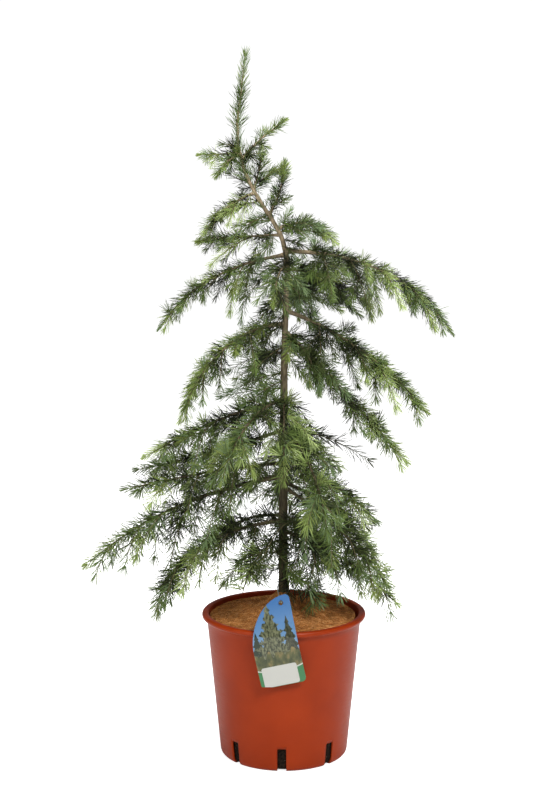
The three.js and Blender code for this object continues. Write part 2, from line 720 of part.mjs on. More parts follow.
const rounds = Math.max(...masses.map((mass) => mass.waiting.length));
for (let turn = 0; turn < rounds; turn += 1) {
  masses.filter((mass) => mass.waiting[turn]).forEach((mass) => growSpray(mass, mass.waiting[turn]));
}
masses.forEach((mass) => {
  const fused = mass.parts.reduce((whole, part) => whole.add(part));
  add(`${mass.name}_foliage`, largest(fused), foliage);
});

export default tree;
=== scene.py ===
"""A young cedar tree in a nursery pot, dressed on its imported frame."""
import logging
import math
from collections.abc import Callable
from dataclasses import dataclass, field
from enum import Enum

import bmesh
import bpy
import numpy as np
from bmesh.types import BMesh
from bpy.types import Material, Mesh, Node, NodeSocket, NodeTree, Object
from mathutils import Matrix, Vector, noise


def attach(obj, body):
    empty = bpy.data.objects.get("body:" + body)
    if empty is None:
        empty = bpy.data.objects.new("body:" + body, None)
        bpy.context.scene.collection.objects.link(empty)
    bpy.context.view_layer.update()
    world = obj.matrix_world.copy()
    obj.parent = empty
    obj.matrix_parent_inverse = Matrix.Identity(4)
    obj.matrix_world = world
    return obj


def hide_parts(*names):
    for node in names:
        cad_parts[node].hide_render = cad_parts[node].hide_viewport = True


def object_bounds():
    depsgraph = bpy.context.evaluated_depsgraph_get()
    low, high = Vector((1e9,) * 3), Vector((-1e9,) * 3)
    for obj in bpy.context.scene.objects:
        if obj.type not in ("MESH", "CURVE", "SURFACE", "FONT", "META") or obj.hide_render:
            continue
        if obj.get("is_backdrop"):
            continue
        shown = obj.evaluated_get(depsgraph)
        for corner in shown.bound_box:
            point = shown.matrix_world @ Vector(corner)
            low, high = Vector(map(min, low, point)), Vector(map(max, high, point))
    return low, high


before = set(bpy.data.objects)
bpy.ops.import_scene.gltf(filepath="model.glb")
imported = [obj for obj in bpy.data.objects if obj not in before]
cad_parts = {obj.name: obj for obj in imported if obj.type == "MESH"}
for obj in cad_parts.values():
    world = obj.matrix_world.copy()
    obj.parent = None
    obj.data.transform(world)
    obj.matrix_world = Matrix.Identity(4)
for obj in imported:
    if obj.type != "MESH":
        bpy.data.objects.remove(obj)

LOG = logging.getLogger("cedar")
MM = 0.001
TURN = 2 * math.pi
UP = np.array((0.0, 0.0, 1.0))
GOLDEN_ANGLE = math.radians(137.508)
SHOOT_STEPS = 6

Pair = tuple[float, float]
Triple = tuple[float, float, float]
Stop = tuple[float, Triple]
Source = NodeSocket | Triple | float


class Slot(Enum):
    """The record's material slots."""

    POT = "terracotta_plastic"
    FELT = "coir_felt"
    BARK = "bark"
    NEEDLES = "needles"


class Tint(Enum):
    """The tints that the sprays are dealt, each a plain colour: red, green, blue."""

    # SHADE and DEEP, dealt mostly inside the crown, are partly the old needles' darker green and partly
    # painted shade; FRESH and TIP, dealt to the outer young needles, are partly fresh growth and partly
    # painted light.
    SHADE = (0.012, 0.016, 0.005)
    DEEP = (0.046, 0.063, 0.016)
    LEAF = (0.106, 0.158, 0.037)
    BLUE = (0.138, 0.202, 0.084)
    OLIVE = (0.186, 0.236, 0.058)
    FRESH = (0.246, 0.330, 0.094)
    TIP = (0.358, 0.446, 0.165)


@dataclass(frozen=True)
class Storey:
    """One storey of the crown: its piece, the height in mm where it ends, and its needles.

    The needles' shares are of the crown's usual needle: how long, how much shorter toward a twig's
    tip, how far they lean out, how densely they stand and how thick they are. The last two say how
    many of the side twigs there are and how far apart in mm the rosettes stand on a limb.
    """

    piece: str
    top: float
    length: float
    taper: float
    lean: float
    dense: float
    girth: float
    bushy: float
    rosettes: float


class Tier(Enum):
    """The storeys of the crown, from the pot up."""

    FOOT = Storey("needles_foot", 480.0, 1.14, 0.28, 1.08, 0.65, 1.12, 0.06, 38.0)
    LOW = Storey("needles_low", 520.0, 1.16, 0.30, 1.08, 0.66, 1.12, 0.02, 32.0)
    MIDDLE = Storey("needles_middle", 620.0, 1.10, 0.28, 1.02, 0.67, 1.10, 0.12, 36.0)
    SHOULDER = Storey("needles_shoulder", 775.0, 1.00, 0.30, 0.96, 0.80, 1.04, 0.40, 42.0)
    UPPER = Storey("needles_upper", 900.0, 0.94, 0.34, 0.92, 0.92, 0.96, 0.70, 60.0)
    HIGH = Storey("needles_high", 950.0, 0.90, 0.38, 0.88, 0.92, 0.84, 0.65, 60.0)
    TOP = Storey("needles_top", 2000.0, 0.82, 0.36, 0.90, 0.90, 0.82, 0.70, 90.0)

    @classmethod
    def at(cls, height: float) -> "Tier":
        """The storey of a branch that leaves the trunk at a height in mm."""
        return next(tier for tier in cls if height < tier.value.top)


# The trunk: height, x, y and radius at each named bend, in mm.
TRUNK_BENDS = (
    (245.3, -1, 0, 13), (262, -1, 0, 9.6), (330, -1, 0, 8.6), (471, -1, 0, 8.0), (654, 0, 0, 7.2),
    (781, 2, 0, 6.4), (888, 5, 2, 5.6), (943, -3, 3, 5.0), (1019, -48, 6, 4.2),
    (1060, -68, 7, 3.6), (1108, -80, 6, 3.0), (1154, -81, 4, 2.4), (1200, -75, 2, 1.7),
    (1258, -68, 0, 0.9),
)

# One row for each branch: height on the trunk, heading, length, slope at root and tip, how late
# it bends, swing, bare share, number of shoots, reach of the first one, and how much they hang.
BRANCHES = {
    "foot_right": (338, 322, 92, 0, -52, 1, 0, 0, 3, 70, 0.5),
    "low_left_front": (398, 236, 158, 4, -70, 1.2, 0, 0, 6, 118, 0.5),
    "low_left": (434, 186, 310, -8, -84, 1.7, -6, 0.16, 8, 135, 0.5),
    "low_right": (414, 350, 238, -18, -46, 1.2, 0, 0, 7, 120, 0.4),
    "low_back_right": (430, 60, 235, -8, -58, 1.2, 0, 0, 4, 125, 0.3),
    "low_right_front": (446, 306, 150, -10, -80, 1.2, 0, 0, 5, 105, 0.5),
    "low_back_left": (442, 132, 250, -6, -50, 1.3, 0, 0, 4, 125, 0.3),
    "long_left": (515, 183, 388, -9, -41, 1.2, 2, 0.16, 10, 150, 0.6),
    "long_right": (495, 338, 255, -26, -52, 1, 0, 0.18, 8, 135, 0.5),
    "right_back_low": (505, 38, 262, -24, -50, 1.2, 0, 0.18, 5, 130, 0.3),
    "back_low": (525, 92, 315, -10, -40, 1.2, 0, 0.18, 5, 145, 0.3),
    "mid_left_front": (540, 198, 284, -2, -10, 1, 0, 0.14, 7, 135, 0.6),
    "right_mid": (548, 352, 196, -22, -46, 1.2, 0, 0, 6, 115, 0.3),
    "mid_left": (600, 168, 280, -20, -14, 1, 0, 0.14, 7, 140, 0.5),
    "front_right": (600, 292, 258, -8, -70, 1.2, 0, 0, 6, 115, 0.5),
    "back_mid": (604, 70, 262, -10, -44, 1.2, 0, 0.18, 5, 140, 0.3),
    "left_upper": (655, 186, 262, -12, -31, 1, 0, 0.14, 7, 140, 0.6),
    "front_left": (655, 240, 248, 0, -62, 1.2, 0, 0, 5, 125, 0.5),
    "right_shoulder": (612, 338, 96, -52, -76, 1.2, 0, 0, 4, 62, 0.4),
    "front_hanging": (652, 270, 190, 6, -84, 0.9, 0, 0, 5, 75, 0.6),
    "back_left": (738, 110, 225, 0, -48, 1.2, 0, 0.14, 5, 145, 0.3),
    "right_dark": (770, 10, 320, -43, -49, 1, 0, 0.16, 7, 115, 0.3),
    "left_arch": (792, 205, 270, 4, -71, 0.8, 0, 0.12, 8, 125, 0.5),
    "right_hanging": (780, 326, 128, -30, -84, 1.2, 0, 0, 4, 80, 0.5),
    "right_arm": (816, 350, 306, -19, -50, 1, 0, 0.12, 7, 150, 0.4),
    "back_upper": (862, 84, 245, 0, -42, 1.2, 0, 0, 5, 130, 0.3),
    "right_back_top": (890, 48, 200, -6, -46, 1.2, 0, 0, 5, 130, 0.3),
    "front_top": (892, 258, 125, 8, -66, 1.2, 0, 0, 4, 90, 0.5),
    "right_top": (922, 355, 338, -2, -58, 1.4, 0, 0.12, 9, 150, 0.9),
    "left_top": (915, 180, 262, -9, -56, 1.3, 0, 0.14, 8, 105, 0.4),
    "right_crest": (960, 12, 112, 30, -50, 1, 0, 0, 5, 95, 0.1),
    "left_crest": (950, 160, 150, -2, -8, 1, 0, 0, 5, 110, 0.2),
    "crown_right": (985, 14, 92, 58, 86, 1, 0, 0, 5, 70, 0),
    "crown_left": (1024, 195, 112, -16, -56, 1, 0, 0, 5, 92, 0.2),
    "crown_back": (1030, 60, 72, 52, 80, 1, 0, 0, 5, 58, 0.1),
    "collar": (1092, 196, 52, -18, -62, 1, 0, 0, 3, 34, 0),
    "tip_left": (1094, 172, 64, -4, -2, 1, 0, 0, 3, 36, 0.4),
    "tip_right": (1083, 8, 96, 50, 32, 1, 0, 0, 3, 50, 0),
}


def mesh_object(name: str, mesh: Mesh, *materials: Material) -> Object:
    """Puts a mesh in the scene as an object at the origin.

    Args:
        name: The name of the object and its mesh.
        mesh: The finished mesh, in metres.
        *materials: Its materials, one for each material slot.

    Returns:
        The new object.
    """
    mesh.name = name
    for material in materials:
        mesh.materials.append(material)
    piece = bpy.data.objects.new(name, mesh)
    bpy.context.scene.collection.objects.link(piece)
    return piece


def bmesh_object(name: str, bm: BMesh, *materials: Material, smooth_angle: float = 180.0) -> Object:
    """Makes an object from a bmesh and frees it.

    Args:
        name: The object's name.
        bm: The bmesh, in metres.
        *materials: Its materials.
        smooth_angle: Edges that turn by more degrees than this stay sharp.

    Returns:
        The new object.
    """
    for face in bm.faces:
        face.smooth = True
    for edge in bm.edges:
        if len(edge.link_faces) == 2 and edge.calc_face_angle(0.0) > math.radians(smooth_angle):
            edge.smooth = False
    mesh = bpy.data.meshes.new(name)
    bm.to_mesh(mesh)
    bm.free()
    return mesh_object(name, mesh, *materials)


def array_object(name: str, points: np.ndarray, triangles: np.ndarray, materials: list[Material],
                 places: np.ndarray | None = None, smooth: bool = False) -> Object:
    """Makes one joined mesh of many small things from arrays.

    Args:
        name: The object's name.
        points: Corner places in metres, shape (n, 3).
        triangles: Corner indices, shape (m, 3).
        materials: The materials.
        places: The material index of each triangle, or none for the first one.
        smooth: Whether its faces are shaded smooth.

    Returns:
        The new object.
    """
    mesh = bpy.data.meshes.new(name)
    mesh.vertices.add(len(points))
    mesh.vertices.foreach_set("co", np.ascontiguousarray(points, dtype=np.float32).ravel())
    mesh.loops.add(3 * len(triangles))
    mesh.loops.foreach_set("vertex_index", np.ascontiguousarray(triangles, dtype=np.int32).ravel())
    mesh.polygons.add(len(triangles))
    mesh.polygons.foreach_set("loop_start", np.arange(0, 3 * len(triangles), 3, dtype=np.int32))
    mesh.polygons.foreach_set("use_smooth", np.full(len(triangles), smooth))
    if places is not None:
        mesh.polygons.foreach_set("material_index", places.astype(np.int32))
    mesh.update(calc_edges=True)
    mesh.validate()
    return mesh_object(name, mesh, *materials)


def spun_bmesh(outline: list[Pair], sides: int, closed: bool = False) -> BMesh:
    """A body spun round the upright axis.

    Args:
        outline: The radius and height of each corner of its outline, in mm.
        sides: How many steps the turn has.
        closed: Whether the last corner joins the first one.

    Returns:
        The new bmesh, in metres.
    """
    bm = bmesh.new()
    verts = [bm.verts.new((radius * MM, 0.0, height * MM)) for radius, height in outline]
    following = [*verts[1:], verts[0]] if closed else verts[1:]
    edges = [bm.edges.new(pair) for pair in zip(verts, following)]
    bmesh.ops.spin(bm, geom=[*verts, *edges], cent=(0, 0, 0), axis=(0, 0, 1), angle=TURN, steps=sides,
                   use_merge=True)
    bmesh.ops.remove_doubles(bm, verts=bm.verts, dist=1e-6)
    return bm


def tube_faces(rings: int, sides: int) -> np.ndarray:
    """The triangles along a tube whose corners are numbered ring by ring.

    Args:
        rings: How many stretches it has between its rings.
        sides: How many corners a ring has.

    Returns:
        Corner indices, shape (m, 3).
    """
    here = np.arange(rings * sides)
    beside = here - here % sides + (here + 1) % sides
    return np.concatenate((np.stack((here, beside, here + sides), 1),
                           np.stack((beside, beside + sides, here + sides), 1)))


def repeated(pattern: np.ndarray, corners: int, count: int) -> np.ndarray:
    """The triangles of many alike things in a row, from those of one with so many corners."""
    return (pattern[None] + corners * np.arange(count)[:, None, None]).reshape(-1, 3)


def around(side: np.ndarray, lift: np.ndarray, turn: np.ndarray | float) -> np.ndarray:
    """The direction at a turn about a line, from two unit vectors square to it."""
    return side * np.cos(turn) + lift * np.sin(turn)


def unit(vectors: np.ndarray) -> np.ndarray:
    """Vectors scaled to a length of one."""
    return vectors / np.maximum(np.linalg.norm(vectors, axis=-1, keepdims=True), 1e-9)


def square_pair(ahead: np.ndarray) -> tuple[np.ndarray, np.ndarray]:
    """Two unit vectors square to each given direction and to each other.

    Args:
        ahead: The unit directions.

    Returns:
        The two, one to the side and one lifted.
    """
    helper = np.where(np.abs(ahead[..., 2:3]) > 0.95, np.array((1.0, 0.0, 0.0)), UP)
    side = unit(np.cross(ahead, helper))
    return side, np.cross(side, ahead)


def blend(low: float, high: float, share: float) -> float:
    """The value at a share of the way from low to high."""
    return low + (high - low) * share


@dataclass
class Path:
    """A line of places in mm, read by the distance along it."""

    places: np.ndarray

    def __post_init__(self) -> None:
        """Adds up the distances between the places."""
        steps = np.linalg.norm(np.diff(self.places, axis=0), axis=1)
        self.marks = np.concatenate(((0.0,), np.cumsum(steps)))
        self.length = float(self.marks[-1])

    def at(self, distance: np.ndarray | float) -> np.ndarray:
        """The places at distances along the path.

        Args:
            distance: The distances in mm; past the path's ends it runs straight on.

        Returns:
            A place for each distance, in mm.
        """
        distance = np.asarray(distance, dtype=float)
        index = np.clip(np.searchsorted(self.marks, distance, side="left") - 1, 0, len(self.marks) - 2)
        span = self.marks[index + 1] - self.marks[index]
        share = ((distance - self.marks[index]) / span)[..., None]
        return self.places[index] * (1 - share) + self.places[index + 1] * share

    def ahead(self, distance: np.ndarray | float, run: float = 4.0) -> np.ndarray:
        """The unit way ahead at distances along the path, read over a short run to each side."""
        return unit(self.at(distance + run) - self.at(distance - run))

    def part(self, start: float, end: float, steps: int) -> "Path":
        """A stretch of the path from one distance to another."""
        return Path(self.at(np.linspace(start, end, steps + 1)))

    def height_mark(self, height: float) -> float:
        """The distance along the path, which climbs all the way, where it reaches a height."""
        return float(np.interp(height, self.places[:, 2], self.marks))


class Dice:
    """Seeded random numbers from 0 to 1, the same as the source's."""

    def __init__(self, seed: int) -> None:
        """Starts at a seed."""
        self.state = seed

    def roll(self) -> float:
        """The next number."""
        self.state = (self.state * 1664525 + 1013904223) & 0xFFFFFFFF
        return self.state / 4294967296


def trunk_path(samples: int = 40) -> Path:
    """The trunk's centre line: a centripetal curve through its bends.

    Args:
        samples: How many places there are between two bends.

    Returns:
        The path, in mm.
    """
    bends = np.array([(x, y, z) for z, x, y, _ in TRUNK_BENDS], dtype=float)
    bends = np.vstack((2 * bends[0] - bends[1], bends, 2 * bends[-1] - bends[-2]))
    places = [bends[1][None]]
    share = (np.arange(1, samples + 1) / samples)[:, None]
    for i in range(1, len(bends) - 2):
        a, b, c, d = bends[i - 1:i + 3]
        before, here, after = (np.linalg.norm(q - p) ** 0.5 for p, q in ((a, b), (b, c), (c, d)))
        leave = ((b - a) / before - (c - a) / (before + here) + (c - b) / here) * here
        arrive = ((c - b) / here - (d - b) / (here + after) + (d - c) / after) * here
        places.append(
            b + leave * share
            + (-3 * b + 3 * c - 2 * leave - arrive) * share**2
            + (2 * b - 2 * c + leave + arrive) * share**3
        )
    return Path(np.vstack(places))


# The branches that stand fuller than their storey, by how much.
LUSH = {"right_top": 1.45, "right_arm": 1.45, "right_hanging": 1.45, "right_crest": 1.3,
        "right_dark": 1.15, "back_upper": 1.3, "right_back_top": 1.45, "back_left": 0.8,
        "back_mid": 1.1, "back_low": 0.8, "low_back_left": 0.8}

# The branches whose sprays are dealt darker tints as painted shade: the share of their outward
# lightening that they keep.
SHADED_BRANCHES = {"front_right": 0.25, "low_right_front": 0.4, "foot_right": 0.6, "right_mid": 0.6,
          "long_right": 0.7, "mid_left_front": 0.7, "low_left_front": 0.7}

# Shoots that hang straight down from a branch: where on it, as a share, and how long in mm.
PENDANTS = {
    "right_top": ((0.42, 95),),
    "left_top": ((0.24, 105), (0.34, 80)),
    "right_arm": ((0.58, 70),),
    "right_dark": ((0.55, 50),),
    "left_upper": ((0.30, 70), (0.50, 60)),
    "long_left": ((0.30, 80), (0.40, 90), (0.50, 75), (0.60, 85), (0.70, 60)),
    "low_left": ((0.36, 85), (0.48, 75), (0.60, 60), (0.74, 45)),
    "mid_left": ((0.40, 60), (0.62, 55)),
}

# Short sprigs that leave the trunk itself: height, heading, length, slope at root and tip.
SPRIGS = (
    (1010, 190, 62, -8, -34), (985, 205, 78, -14, -40), (1030, 40, 52, 20, 50), (1042, 150, 44, 10, 30),
    (975, 172, 64, 4, -20), (955, 350, 70, 14, -14), (942, 18, 66, -4, -40), (930, 300, 48, 0, -50),
    (905, 200, 62, -10, -46), (862, 340, 70, -24, -60), (838, 186, 76, -22, -60),
    (812, 222, 66, -28, -66), (790, 165, 82, -18, -52), (775, 345, 74, -30, -62),
    (752, 198, 84, -22, -58), (735, 12, 66, -34, -64), (705, 176, 98, -10, -30),
    (690, 214, 84, -12, -38), (676, 160, 120, -4, -16), (660, 6, 70, -30, -66),
    (640, 345, 62, -40, -72), (560, 190, 84, -20, -70), (380, 190, 74, -10, -50),
    (345, 160, 70, -4, -30), (1066, 190, 44, 62, -10), (1076, 350, 40, 64, -10),
    (1092, 200, 36, 66, -8),
)


@dataclass
class Twig:
    """One twig of the crown: its path, how its needles stand and how thick it is.

    It is counted as outer from 0 at the trunk to 1 at the crown's edge. A radius of 0 says that the
    needles stand on a limb that is made elsewhere.
    """

    path: Path
    tier: Tier
    outer: float
    tint: Tint
    root_radius: float = 0.0
    tip_radius: float = 0.0
    fresh: float = 0.4
    dense: float = 1.0
    taper: float = 1.0
    stretch: float = 1.0


@dataclass
class Branch:
    """One branch of the tree, grown by the source's rule and carried on to finer twigs."""

    name: str
    z: float
    heading: float
    length: float
    rise: float
    droop: float
    bend: float = 1.0
    swing: float = 0.0
    bare: float = 0.0
    shoots: int = 0
    reach: float = 0.0
    hang: float = 0.0
    steps: int = 24

    def path(self, trunk: Path) -> Path:
        """The branch's curve, from the trunk's axis to its tip.

        Args:
            trunk: The trunk's centre line.

        Returns:
            The curve, in mm.
        """
        root = trunk.at(trunk.height_mark(self.z))
        share = (np.arange(self.steps) + 0.5) / self.steps
        slope = np.radians(self.rise + (self.droop - self.rise) * share**self.bend)
        heading = np.radians(self.heading + self.swing * share)
        moves = np.stack(
            (np.cos(slope) * np.cos(heading), np.cos(slope) * np.sin(heading), np.sin(slope)), axis=1
        )
        places = root + np.cumsum(moves * (self.length / self.steps), axis=0)
        return Path(np.vstack((root, places)))

    def radius(self, share: float) -> float:
        """The branch's radius at a share of its length."""
        return blend(max(2.6, 0.0135 * self.length), 0.8, share**0.72)

    def shoot_lines(self, path: Path, dice: Dice) -> list[tuple[Path, float]]:
        """The source's shoots: alternate sides, shorter toward the tip.

        Args:
            path: The branch's curve.
            dice: The source's random numbers.

        Returns:
            Each shoot's path and its share along the branch.
        """
        first = max(self.bare, 0.08) + 0.02
        lines = []
        for i in range(self.shoots):
            share = blend(first, 0.9, (i + 0.3 + 0.4 * dice.roll()) / self.shoots)
            hand = -1 if i % 2 else 1
            angle = blend(78, 36, share) + 22 * (dice.roll() - 0.5)
            tilt = 40 * (dice.roll() - 0.4)
            reach = self.reach * blend(1.1, 0.25, share) * (0.65 + 0.6 * dice.roll())
            hang = self.hang * (0.5 + dice.roll())
            dice.roll()
            lines.append((side_shoot(path, share * self.length, hand, angle, tilt, reach, hang), share))
        return lines


def side_shoot(path: Path, distance: float, hand: float, angle: float, tilt: float, reach: float,
               hang: float) -> Path:
    """A shoot's curve: it leaves its stem at an angle and sags along its length.

    Args:
        path: The stem's path.
        distance: Where on the stem it starts, in mm.
        hand: 1 or -1, the side that it leaves from.
        angle: The angle between the stem and the shoot, in degrees.
        tilt: How far it leaves below the level, in degrees.
        reach: Its length, in mm.
        hang: How much it sags.

    Returns:
        The shoot's path.
    """
    start = path.at(distance)
    ahead = unit(path.at(distance + 4.0) - start)
    level = square_pair(ahead)[0]
    out = level * hand * math.cos(math.radians(tilt)) - UP * math.sin(math.radians(tilt))
    direction = ahead * math.cos(math.radians(angle)) + out * math.sin(math.radians(angle))
    share = ((np.arange(SHOOT_STEPS) + 0.5) / SHOOT_STEPS)[:, None]
    moves = unit(direction - UP * 2.2 * hang * share) * (reach / SHOOT_STEPS)
    return Path(np.vstack((start, start + np.cumsum(moves, axis=0))))


@dataclass
class Limb:
    """A branch that has grown: its curve out of the trunk and its storey."""

    branch: Branch
    path: Path
    tier: Tier


@dataclass
class Growth:
    """All limbs and twigs of the tree, grown from the seeded rules.

    Lengths and heights are in mm and angles in degrees. A pair is the range of a random draw.
    """

    seed: int = 20449
    fine_seed: int = 73
    # The tints' odds from the trunk out: dark ones inside, partly the old needles' colour and partly
    # painted shade; lighter ones outside, partly fresh growth and partly painted light.
    inner_odds: tuple[float, ...] = (0.50, 0.30, 0.12, 0.04, 0.03, 0.01)
    outer_odds: tuple[float, ...] = (0.05, 0.17, 0.30, 0.18, 0.17, 0.13)
    old_stem: float = 0.62
    side_spacing: float = 44.0
    side_margin: float = 36.0
    side_longest: float = 48.0
    side_angle: Pair = (34, 60)
    side_tilt: Pair = (-30, 42)
    same_tint: float = 0.6
    fine_spacing: float = 29.0
    fine_last: float = 0.76
    fine_angle: Pair = (40, 80)
    fine_tilt: Pair = (-55, 75)
    spur_angle: float = 80.0
    spur_tilt: Pair = (-85, 85)
    spur_length: Pair = (6, 12)
    pendant_angle: float = 75.0
    pendant_tilt: float = 68.0
    open_height: float = 880.0
    leader_heights: Triple = (948.0, 1040.0, 1130.0)
    twigs: list[Twig] = field(default_factory=list)
    limbs: list[Limb] = field(default_factory=list)
    # The share of the outward lightening that a branch's sprays keep; below one it paints shade.
    freshness: float = field(default=1.0, init=False)

    def grow(self) -> None:
        """Grows the trunk, the branches, the source's shoots and the finer twigs."""
        self.trunk = trunk_path()
        self.fine = np.random.default_rng(self.fine_seed)
        dice = Dice(self.seed)
        for name, row in BRANCHES.items():
            branch = Branch(name, *row)
            limb = Limb(branch, branch.path(self.trunk), Tier.at(branch.z))
            self.limbs.append(limb)
            grown = len(self.twigs)
            # Painted shade: some branches keep less of the outward lightening.
            self.freshness = SHADED_BRANCHES.get(name, 1.0)
            lines = branch.shoot_lines(limb.path, dice)
            self._limb_needles(limb)
            for line, share in lines:
                self._shoot(line, limb.tier, share, 1.0)
            for grow_more in (self._fine_twigs, self._rosettes, self._pendants):
                grow_more(limb)
            for twig in self.twigs[grown:]:
                twig.dense *= LUSH.get(name, 1.0)
        self.freshness = 1.0
        self._sprigs()
        self._leader()

    def _draw(self, span: Pair) -> float:
        """A random number in a range."""
        return self.fine.uniform(*span)

    def _hand(self) -> float:
        """A random side: 1 or -1."""
        return float(self.fine.choice((-1, 1)))

    def _deal(self, outer: float) -> Tint:
        """A tint for a spray: lighter the further out it is, partly fresh growth and partly painted
        light, with painted shade on the inner sprays.

        Args:
            outer: How far out it is, from 0 to 1.

        Returns:
            The tint.
        """
        # Painted shade on the darkened branches.
        outer *= self.freshness
        odds = np.array(self.inner_odds) * (1 - outer) + np.array(self.outer_odds) * outer
        return list(Tint)[int(self.fine.choice(len(odds), p=odds / odds.sum()))]

    def _limb_needles(self, limb: Limb) -> None:
        """The needles on a limb's own stem, past its bare foot: old ones, then the fresh tip's.

        Args:
            limb: The limb.
        """
        branch, path = limb.branch, limb.path
        start, cut = max(branch.bare, 0.06) * branch.length, self.old_stem * branch.length
        # The old stem's needles take the innermost, darkest tints: partly the old needles' colour,
        # partly painted shade inside the crown.
        self.twigs.append(Twig(path.part(start, cut, 12), limb.tier, 0.25, self._deal(0.0),
                               fresh=0.0, taper=0.0, stretch=0.85))
        self.twigs.append(Twig(path.part(cut, path.length + 6, 12), limb.tier, 0.9, self._deal(0.9),
                               fresh=0.5, dense=1.6, taper=1.5, stretch=0.9))

    def _shoot(self, line: Path, tier: Tier, share: float, size: float) -> None:
        """A shoot and the side twigs on it.

        Args:
            line: The shoot's path.
            tier: Its storey.
            share: Its share along the branch.
            size: Its thickness, as a share of a main shoot's.
        """
        outer = min(1.0, 0.35 + 0.6 * share)
        tint = self._deal(outer)
        self.twigs.append(Twig(line, tier, outer, tint, 1.15 * size, 0.45))
        distance = self.side_spacing * 0.6
        hand = 1
        while distance < line.length - self.side_margin:
            if self.fine.random() > tier.value.bushy:
                distance += self.side_spacing
                continue
            reach = (0.40 * (line.length - distance) + 8) * self._draw((0.7, 1.25))
            twig = side_shoot(line, distance, hand, self._draw(self.side_angle),
                              self._draw(self.side_tilt), min(reach, self.side_longest),
                              self._draw((0.05, 0.5)))
            side_tint = tint if self.fine.random() < self.same_tint else self._deal(outer)
            self.twigs.append(Twig(twig, tier, outer, side_tint, 0.62, 0.35))
            hand = -hand
            distance += self.side_spacing * self._draw((0.7, 1.2))

    def _fine_twigs(self, limb: Limb) -> None:
        """Short twigs all along a limb, between the source's shoots.

        Args:
            limb: The limb.
        """
        branch = limb.branch
        spacing = self.fine_spacing * blend(1.75, 0.95, limb.tier.value.bushy)
        distance = max(branch.bare, 0.07) * branch.length
        hand = -1
        while distance < self.fine_last * branch.length:
            share = distance / branch.length
            reach = branch.reach * blend(0.50, 0.14, share) * self._draw((0.5, 1.3))
            twig = side_shoot(limb.path, distance, hand, self._draw(self.fine_angle),
                              self._draw(self.fine_tilt), reach, branch.hang * self._draw((0.3, 1.3)))
            self._shoot(twig, limb.tier, share, 0.7)
            hand = -hand
            distance += spacing * self._draw((0.7, 1.3))

    def _rosettes(self, limb: Limb) -> None:
        """Short spurs along a limb, each a star of needles.

        Args:
            limb: The limb.
        """
        length = limb.branch.length
        distance = max(limb.branch.bare, 0.15) * length
        while distance < 0.96 * length:
            spur = side_shoot(limb.path, distance, self._hand(), self.spur_angle,
                              self._draw(self.spur_tilt), self._draw(self.spur_length), 0.0)
            outer = distance / length
            self.twigs.append(Twig(spur, limb.tier, outer, self._deal(outer), 0.9, 0.8,
                                   fresh=1.0, dense=2.6, taper=0.0, stretch=0.9))
            distance += limb.tier.value.rosettes * self._draw((0.5, 1.5))

    def _pendants(self, limb: Limb) -> None:
        """The shoots that hang straight down from a limb.

        Args:
            limb: The limb.
        """
        for share, reach in PENDANTS.get(limb.branch.name, ()):
            line = side_shoot(limb.path, share * limb.branch.length, self._hand(), self.pendant_angle,
                              self.pendant_tilt, reach, 0.5)
            self._shoot(line, limb.tier, 0.35, 0.9)

    def _sprigs(self) -> None:
        """Short shoots that leave the trunk itself: below the open height they take dark tints as
        painted shade inside the crown, above it lighter ones.
        """
        for height, *rest in SPRIGS:
            sprig = Branch("sprig", height, *rest, steps=8)
            share = 0.2 if height < self.open_height else 0.7
            self._shoot(sprig.path(self.trunk), Tier.at(height), share, 1.1)

    def _leader(self) -> None:
        """The needles round the trunk's last stretch, and round the bare trunk below it."""
        foot, collar, end = (self.trunk.height_mark(height) for height in self.leader_heights)
        stretches = ((foot, collar, 0.2, 1.1, 0.5), (collar, end, 0.4, 1.3, 1.7),
                     (end, self.trunk.length + 2, 0.9, 1.2, 1.9))
        for start, stop, outer, stretch, dense in stretches:
            self.twigs.append(Twig(self.trunk.part(start, stop, 16), Tier.TOP, outer, Tint.LEAF,
                                   dense=dense, stretch=stretch))


